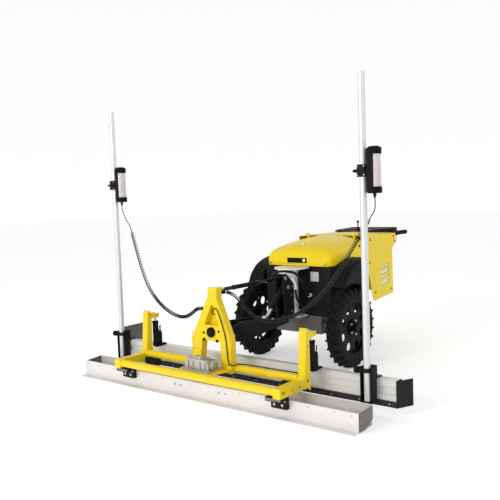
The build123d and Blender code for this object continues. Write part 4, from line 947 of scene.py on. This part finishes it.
def add_receiver_details(name, side):
    """Ribbed caps, a black back shell, sensor rings and posts in the clear tube, and clamp screws."""
    x = side * MAST_X + RECEIVER_OFFSET
    bm = bmesh.new()
    for base, way in ((RECEIVER_Z[0], 1), (RECEIVER_Z[1], -1)):
        for i in range(4):
            z = base + way * (0.006 + i * 0.0075)
            add_ring(bm, (x, MAST_Y, z), (0, 0, way),
                     [(0, 0.0395), (0.001, 0.0418), (0.0035, 0.0418), (0.0045, 0.0395)], 48)
    add_lathe(bm, (x, MAST_Y, RECEIVER_Z[1] - 0.002), UP, [(0, 0.035), (0.005, 0.033), (0.009, 0.024)], 40)
    for way in (-1, 1):
        low, high = sorted((MAST_Y + way * 0.0235, MAST_Y + way * 0.0265))
        add_box(bm, (x - 0.034, low, 1.300), (x - 0.015, high, 1.480))
        for i in range(5):
            z = 1.330 + i * 0.028
            low, high = sorted((MAST_Y + way * 0.0260, MAST_Y + way * 0.0280))
            add_box(bm, (x - 0.031, low, z), (x - 0.018, high, z + 0.012))
    turns = [radians(72 + i * 12) for i in range(19)]
    shell = [(x + 0.0382 * cos(t), MAST_Y + 0.0382 * sin(t), 1.3015) for t in turns]
    shell += [(x + 0.0364 * cos(t), MAST_Y + 0.0364 * sin(t), 1.3015) for t in reversed(turns)]
    add_prism(bm, shell, (0, 0, 0.177))
    make_piece(f"{name}_receiver_caps", bm, "black_plastic", "plough", 0.0006)
    for i in range(9):
        z = 1.309 + i * 0.0185
        add_ring(bm, (x, MAST_Y, z), UP, [(0, 0.0198), (0, 0.0228), (0.006, 0.0228), (0.006, 0.0198)], 36)
    make_piece(f"{name}_sensor_rings", bm, "red_plastic", "plough")
    for turn in (-1.2, 0.0, 1.2):
        px = x + 0.028 * cos(turn)
        py = MAST_Y + 0.028 * sin(turn)
        add_lathe(bm, (px, py, 1.303), UP, [(0, 0.0024), (0.174, 0.0024)], 10)
    make_piece(f"{name}_sensor_posts", bm, "mast_silver", "plough")
    mast = side * MAST_X
    for dx in (-0.020, 0.020):
        for z in (1.368, 1.416):
            add_bolt(bm, (mast + dx, MAST_Y - 0.028, z), FRONT, 0.0040)
    make_piece(f"{name}_receiver_screws", bm, "zinc_steel", "plough", 0.0004)


for name_and_side in SIDES:
    add_receiver_details(*name_and_side)


def add_plough_details():
    """Strip bolts, mast bracket bolts, and the actuators' collars, pins and leads."""
    bm = bmesh.new()
    for i in range(13):
        x = -1.12 + i * 0.19
        add_bolt(bm, (x, 0.244, 0.079), FRONT, 0.0048)
    for side in (-1, 1):
        for dx in (-0.030, 0.030):
            add_bolt(bm, (side * MAST_X + dx, 0.280, 0.221), UP, 0.0055)
            add_bolt(bm, (side * MAST_X + dx, 0.224, 0.130), FRONT, 0.0050)
            add_bolt(bm, (side * MAST_X + dx, 0.224, 0.240), FRONT, 0.0050)
        add_bolt(bm, (side * ACTUATOR_X, 0.270, 0.226), UP, 0.0055)
    for y, z in ((0.280, 0.100), (0.280, 0.180)):
        add_bolt(bm, (1.206, y, z), RIGHT, 0.0050)
    make_piece("plough_bolts", bm, "zinc_steel", "plough", 0.0004)
    for side in (-1, 1):
        x = side * ACTUATOR_X
        add_ring(bm, (x, MAST_Y, 0.398), UP,
                 [(-0.012, 0.0205), (-0.012, 0.0235), (-0.001, 0.0235), (0.003, 0.0175), (0.003, 0.0105),
                  (-0.001, 0.0105)], 40)
        add_ring(bm, (x, MAST_Y, 0.222), UP, [(0, 0.0205), (0, 0.0240), (0.016, 0.0240), (0.018, 0.0205)],
                 40)
        add_lathe(bm, (x, SLEEVE_Y, 0.317), UP, [(0, 0.0165), (0.004, 0.0150), (0.006, 0.010)], 32)
        for z in (0.250, 0.290):
            add_ring(bm, (x, SLEEVE_Y, z), UP, [(0, 0.0165), (0, 0.0182), (0.006, 0.0182), (0.006, 0.0165)],
                     32)
    make_piece("actuator_collars", bm, "black_plastic", "plough", 0.0006)
    for side in (-1, 1):
        x = side * ACTUATOR_X
        add_lathe(bm, (x - 0.021, MAST_Y, ACTUATOR_TOP), RIGHT,
                  [(-0.004, 0.0085), (0, 0.0085), (0, 0.0058), (0.042, 0.0058), (0.042, 0.0085),
                   (0.046, 0.0085)], 20)
    make_piece("actuator_pins", bm, "black_plastic", "head", 0.0006)
    for side in (-1, 1):
        x = side * ACTUATOR_X
        loop = smooth_line([(x + 0.008, MAST_Y + 0.038, 0.322), (x + 0.012, MAST_Y + 0.038, 0.350),
                            (x + 0.022, MAST_Y + 0.026, 0.372), (x + 0.0245, MAST_Y + 0.012, 0.350),
                            (x + 0.0235, MAST_Y + 0.010, 0.290), (x + 0.0235, MAST_Y + 0.014, 0.246)], 8)
        add_tube(bm, loop, 0.0028, 8)
    make_piece("actuator_leads", bm, "cable_jacket", "plough")


add_plough_details()


# ---------------------------------------------------------------- linkage and post
POST_Y = 0.985
CHEEK = 0.042
LOWER_PIVOT = (0.855, 0.370)
UPPER_PIVOT = (0.840, 0.670)
CYLINDER_BASE = (0.870, 0.600)


def add_linkage_details():
    """Pins, rings, hose fittings and threads on the lift linkage."""
    bm = bmesh.new()
    for side in (-1, 1):
        face = side * CHEEK
        for y, z in (UPPER_PIVOT, CYLINDER_BASE):
            add_lathe(bm, (face, y, z), (side, 0, 0), [(0, 0.016), (0.003, 0.016), (0.004, 0.0145)], 28)
        for y, z in ((0.910, 0.420), (0.910, 0.540), (0.925, 0.600)):
            add_bolt(bm, (face, y, z), (side, 0, 0), 0.0055)
    for x in (-0.078, 0.078):
        for y in (0.948, 1.028):
            add_bolt(bm, (x, y, 0.378), UP, 0.0075)
    for i in range(6):
        turn = tau * (i + 0.5) / 6
        add_bolt(bm, (0.112 * cos(turn), POST_Y + 0.112 * sin(turn), 0.728), (0, 0, -1), 0.0060)
    make_piece("bracket_bolts", bm, "zinc_steel", "tractor", 0.0005)
    collar = [(0, 0.0435), (0, 0.049), (0.004, 0.050), (0.016, 0.050), (0.020, 0.049), (0.020, 0.0435)]
    for z in (0.395, 0.700):
        add_ring(bm, (0, POST_Y, z), UP, collar, 48)
    add_lathe(bm, (0.112, 1.0605, 0.522), FRONT,
              [(0, 0.016), (0.006, 0.016), (0.007, 0.013), (0.026, 0.013)], 6)
    add_lathe(bm, (-0.042, 0.900, 0.606), (-1, 0, 0),
              [(0, 0.014), (0.018, 0.014), (0.019, 0.0115), (0.030, 0.0115)], 6)
    elbow = smooth_line([(-0.050, 0.905, 0.655), (-0.020, 0.900, 0.672), (0.020, 0.905, 0.672),
                         (0.052, 0.925, 0.650), (0.060, 0.938, 0.610), (0.060, 0.940, 0.585)], 8)
    add_tube(bm, elbow, 0.0125, 16)
    add_lathe(bm, (0.060, 0.940, 0.578), UP, [(0, 0.017), (0.014, 0.017), (0.016, 0.014)], 6)
    add_lathe(bm, (-0.050, 0.905, 0.655), (-0.85, -0.1, -0.4),
              [(-0.004, 0.016), (0.010, 0.016), (0.012, 0.013)], 6)
    make_piece("post_fittings", bm, "plough_silver", "tractor", 0.0006)
    right_bends = ((0.060, 0.940, 0.580), (0.060, 0.942, 0.540), (0.070, 0.952, 0.480),
                   (0.092, 0.990, 0.440), (0.110, 1.030, 0.430), (0.120, 1.061, 0.430))
    left_bends = ((-0.060, 0.905, 0.650), (-0.085, 0.912, 0.620), (-0.092, 0.930, 0.560),
                  (-0.100, 0.975, 0.480), (-0.110, 1.030, 0.450), (-0.115, 1.061, 0.450))
    for bends in (right_bends, left_bends):
        add_tube(bm, smooth_line(bends, 8), 0.0078, 12)
    make_piece("bracket_hoses", bm, "cable_jacket", "tractor")
    for side in (-1, 1):
        add_lathe(bm, (side * 0.062, *LOWER_PIVOT), (side, 0, 0),
                  [(-0.001, 0.020), (0.004, 0.020), (0.005, 0.018)], 28)
        add_lathe(bm, (side * 0.062, 0.640, 0.400), (side, 0, 0),
                  [(-0.001, 0.014), (0.004, 0.014), (0.005, 0.012)], 24)
        add_bolt(bm, (side * 0.096, 0.170, 0.370), (side, 0, 0), 0.0075)
    make_piece("arm_pin_ends", bm, "zinc_steel", "lower_arm", 0.0005)
    for y in (0.300, 0.560):
        add_lathe(bm, (0, y, UPPER_PIVOT[1]), REAR, [(-0.007, 0.018), (0.007, 0.018)], 6)
    for start in (0.205, 0.572):
        threads = [(0, 0.0112)]
        for i in range(20):
            threads += [(0.002 + i * 0.0035, 0.0126), (0.00375 + i * 0.0035, 0.0112)]
        add_lathe(bm, (0, start, UPPER_PIVOT[1]), REAR, threads, 20)
    make_piece("top_link_threads", bm, "dark_steel", "top_link")
    pull = Vector((0, 0.640 - CYLINDER_BASE[0], 0.400 - CYLINDER_BASE[1])).normalized()
    base = Vector((0, *CYLINDER_BASE))
    for along, radius in ((0.030, 0.0275), (0.195, 0.0275)):
        add_ring(bm, base + pull * along, pull, [(0, 0.0235), (0, radius), (0.014, radius), (0.014, 0.0235)],
                 40)
    make_piece("cylinder_collars", bm, "black_paint", "lift_cylinder", 0.001)


add_linkage_details()


# ---------------------------------------------------------------- carried-over CAD nodes
BEVELS = {
    0.006: ("console", "axle_housing"),
    0.004: ("left_side_frame", "right_side_frame", "tower", "exciter_housing", "engine"),
    0.003: ("lower_body", "link_bracket", "lower_arm", "board_mounts"),
    0.002: ("rear_cover", "chassis", "receiver_clamps", "left_rim", "right_rim", "front_post",
            "actuator_bodies", "top_link", "lift_cylinder", "left_mast_knob", "right_mast_knob",
            "left_receiver_knob", "right_receiver_knob", "emergency_button", "left_receiver",
            "right_receiver", "handlebars"),
    0.0015: ("side_panels", "mast_brackets", "cord_glands"),
    0.001: ("plough_blade", "left_end_plate", "right_wing_plate", "lift_rod", "board_bolts", "drive_lever",
            "tower_plug"),
    0.0008: ("vibrating_board",),
}
BEVEL_OF = {name: width for width, names in BEVELS.items() for name in names}
# painted shade: the left end plate wears dark grey paint in place of its slot's material, for the shade it
# lies in
SHADE_PAINTED_NODES = {"left_end_plate": "grey_paint"}


def dress_cad_nodes():
    """Each CAD node gets its slot's material and, where it has sharp edges, rounded ones."""
    slots = {row["node"]: row["material_slot"] for row in frame["record"]["subparts"]}
    for name, node in frame["nodes"].items():
        if name in ("hood", "fenders", "left_tyre", "right_tyre"):
            continue
        # the left end plate takes dark grey paint here as painted shade, in place of its slot's material
        material = MATERIALS[SHADE_PAINTED_NODES.get(name, slots[name])]
        if node.material_slots:
            for place in node.material_slots:
                place.material = material
        else:
            node.data.materials.append(material)
        node.data.shade_smooth()
        node.data.set_sharp_from_angle(angle=radians(32))
        if name in BEVEL_OF:
            add_bevel(node, BEVEL_OF[name])


dress_cad_nodes()


# ---------------------------------------------------------------- stage and light
def add_stage():
    """Plain pale floor under the machine."""
    bm = bmesh.new()
    floor = [(-40, -40, 0), (40, -40, 0), (40, 40, 0), (-40, 40, 0)]
    bm.faces.new([bm.verts.new(p) for p in floor])
    mesh = bpy.data.meshes.new("floor")
    bm.to_mesh(mesh)
    bm.free()
    piece = new_object("floor", mesh)
    tree, shader = new_material("floor")
    tone = object_noise(tree, 1.2)
    shades = ramp(tree, tone, [(0.3, (0.95, 0.95, 0.95)), (0.7, (0.96, 0.96, 0.96))])
    tree.links.new(shades, shader.inputs["Base Color"])
    settle(shader, {"Roughness": 0.7, "Emission Color": (1, 1, 1, 1), "Emission Strength": 0.30})
    mesh.materials.append(MATERIALS["floor"])


def add_light(name, place, target, size, power, colour=(1, 1, 1)):
    """A square soft light that looks at a target."""
    data = bpy.data.lights.new(name, "AREA")
    data.shape = "SQUARE"
    data.size = size
    data.energy = power
    data.color = colour
    light = new_object(name, data)
    light.location = place
    light.rotation_euler = (Vector(target) - Vector(place)).to_track_quat("-Z", "Y").to_euler()


def add_lights():
    """Soft studio light: a large key low in front, a faint fill, a top light and a pale sky."""
    world = bpy.data.worlds.new("studio")
    world.use_nodes = True
    tree = world.node_tree
    background = tree.nodes["Background"]
    split = tree.nodes.new("ShaderNodeSeparateXYZ")
    tree.links.new(tree.nodes.new("ShaderNodeTexCoord").outputs["Generated"], split.inputs[0])
    fades = [(0.0, (1, 1, 1)), (0.35, (0.96, 0.96, 0.96)), (1.0, (0.4, 0.4, 0.4))]
    tree.links.new(ramp(tree, split.outputs["Z"], fades), background.inputs["Color"])
    background.inputs["Strength"].default_value = 1.0
    bpy.context.scene.world = world
    middle = (0, 0.9, 0.5)
    add_light("key", (-1.0, -6.0, 2.8), middle, 3.0, 178)
    add_light("fill", (5.0, -0.5, 2.6), middle, 3.0, 10)
    add_light("top", (0.5, 1.0, 5.5), middle, 4.0, 14)
    scene = bpy.context.scene
    scene.view_settings.view_transform = "Standard"


add_stage()
add_lights()
